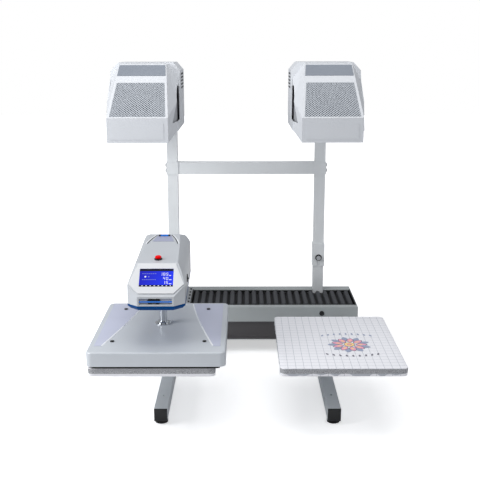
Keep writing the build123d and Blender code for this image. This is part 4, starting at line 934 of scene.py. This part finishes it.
PAPER_NEAR, PAPER_FAR = 1.0, 2.4
PAPER_GLOW = 0.50
LAMPS = (
    ("lamp_left", (-2.1, -1.0, 1.7), (-0.2, 0.0, 0.7), 1.3, 46.0),
    ("lamp_above", (0.0, -0.3, 3.2), (0.0, 0.0, 0.3), 2.4, 39.0),
    ("lamp_right", (2.8, -1.2, 1.6), (0.1, 0.1, 0.6), 1.6, 6.0),
)
FLAG_X = (("left", -1.9), ("right", 1.4))
FLAG_Y, FLAG_HALF, FLAG_HEIGHT = -1.6, 0.8, 1.2
AIR_COLOUR, AIR_STRENGTH = (0.95, 0.97, 1.0, 1.0), 0.40
WHITE = (1.0, 1.0, 1.0, 1.0)
CAMERA_SPOT = Vector((-0.0092, -2.9823, 1.2526))
PITCH, YAW, ROLL = radians(13.388), radians(-0.209), radians(-0.129)
LENS, SENSOR = 61.59, 36.0


def area_lamp(name, spot, target, size, power):
    """Square lamp at a spot, turned to face a target."""
    data = bpy.data.lights.new(name, "AREA")
    data.shape, data.size, data.energy = "SQUARE", size, power
    lamp = bpy.data.objects.new(name, data)
    lamp.location = spot
    lamp.rotation_euler = (Vector(target) - Vector(spot)).to_track_quat("-Z", "Y").to_euler()
    bpy.context.scene.collection.objects.link(lamp)


def floor_finish():
    """White paper that shows soft shadows by the feet and whitens out further away."""
    material, tree, shader = new_material("floor_paper")
    distance = add_node(tree, "ShaderNodeVectorMath", {0: object_place(tree)}, operation="LENGTH")
    whiten = add_node(tree, "ShaderNodeMapRange", {
        "Value": distance.outputs["Value"], "From Min": PAPER_NEAR, "From Max": PAPER_FAR,
        "To Min": PAPER_GLOW, "To Max": 1.0,
    })
    ray = add_node(tree, "ShaderNodeLightPath")
    feed(shader, {
        "Base Color": linear(246, 246, 247), "Roughness": 0.9, "Specular IOR Level": 0.1,
        "Emission Color": WHITE,
        "Emission Strength": calc(tree, "MULTIPLY", whiten.outputs["Result"], ray.outputs["Is Camera Ray"]),
    })
    return material


floor_points = np.array([[(-9.0, -6.0, 0.0), (9.0, -6.0, 0.0)], [(-9.0, 12.0, 0.0), (9.0, 12.0, 0.0)]])
floor = grid_mesh("floor", floor_points, floor_finish())
for lamp in LAMPS:
    area_lamp(*lamp)

flag_black = made_surface("flag_black", linear(10, 10, 11), 0.9)
for label, middle in FLAG_X:
    ends = (middle - FLAG_HALF, middle + FLAG_HALF)
    corners = np.array([[(x, FLAG_Y, z) for x in ends] for z in (0.0, FLAG_HEIGHT)])
    flag = grid_mesh("flag_" + label, corners, flag_black)
    flag.visible_camera = flag.visible_diffuse = flag.visible_shadow = flag.visible_transmission = False

world = bpy.data.worlds.new("studio_air")
bpy.context.scene.world = world
world.use_nodes = True
air = world.node_tree
feed(air.nodes["Background"], {"Color": AIR_COLOUR, "Strength": AIR_STRENGTH})
seen = add_node(air, "ShaderNodeBackground", {"Color": WHITE, "Strength": 1.0})
ray = add_node(air, "ShaderNodeLightPath")
either = add_node(air, "ShaderNodeMixShader", {
    0: ray.outputs["Is Camera Ray"], 1: air.nodes["Background"].outputs[0], 2: seen.outputs[0],
})
feed(air.nodes["World Output"], {"Surface": either.outputs[0]})

look = Vector((sin(YAW) * cos(PITCH), cos(YAW) * cos(PITCH), -sin(PITCH)))
level = Vector((cos(YAW), -sin(YAW), 0.0))
rise = level.cross(look)
right = level * cos(ROLL) + rise * sin(ROLL)
top = rise * cos(ROLL) - level * sin(ROLL)
camera = bpy.data.objects.new("camera", bpy.data.cameras.new("camera"))
bpy.context.scene.collection.objects.link(camera)
camera.data.sensor_width = SENSOR
camera.data.lens = LENS
turned = Matrix((right, top, -look)).transposed().to_4x4()
camera.matrix_world = Matrix.Translation(CAMERA_SPOT) @ turned
bpy.context.scene.camera = camera
bpy.context.scene.view_settings.view_transform = "Standard"
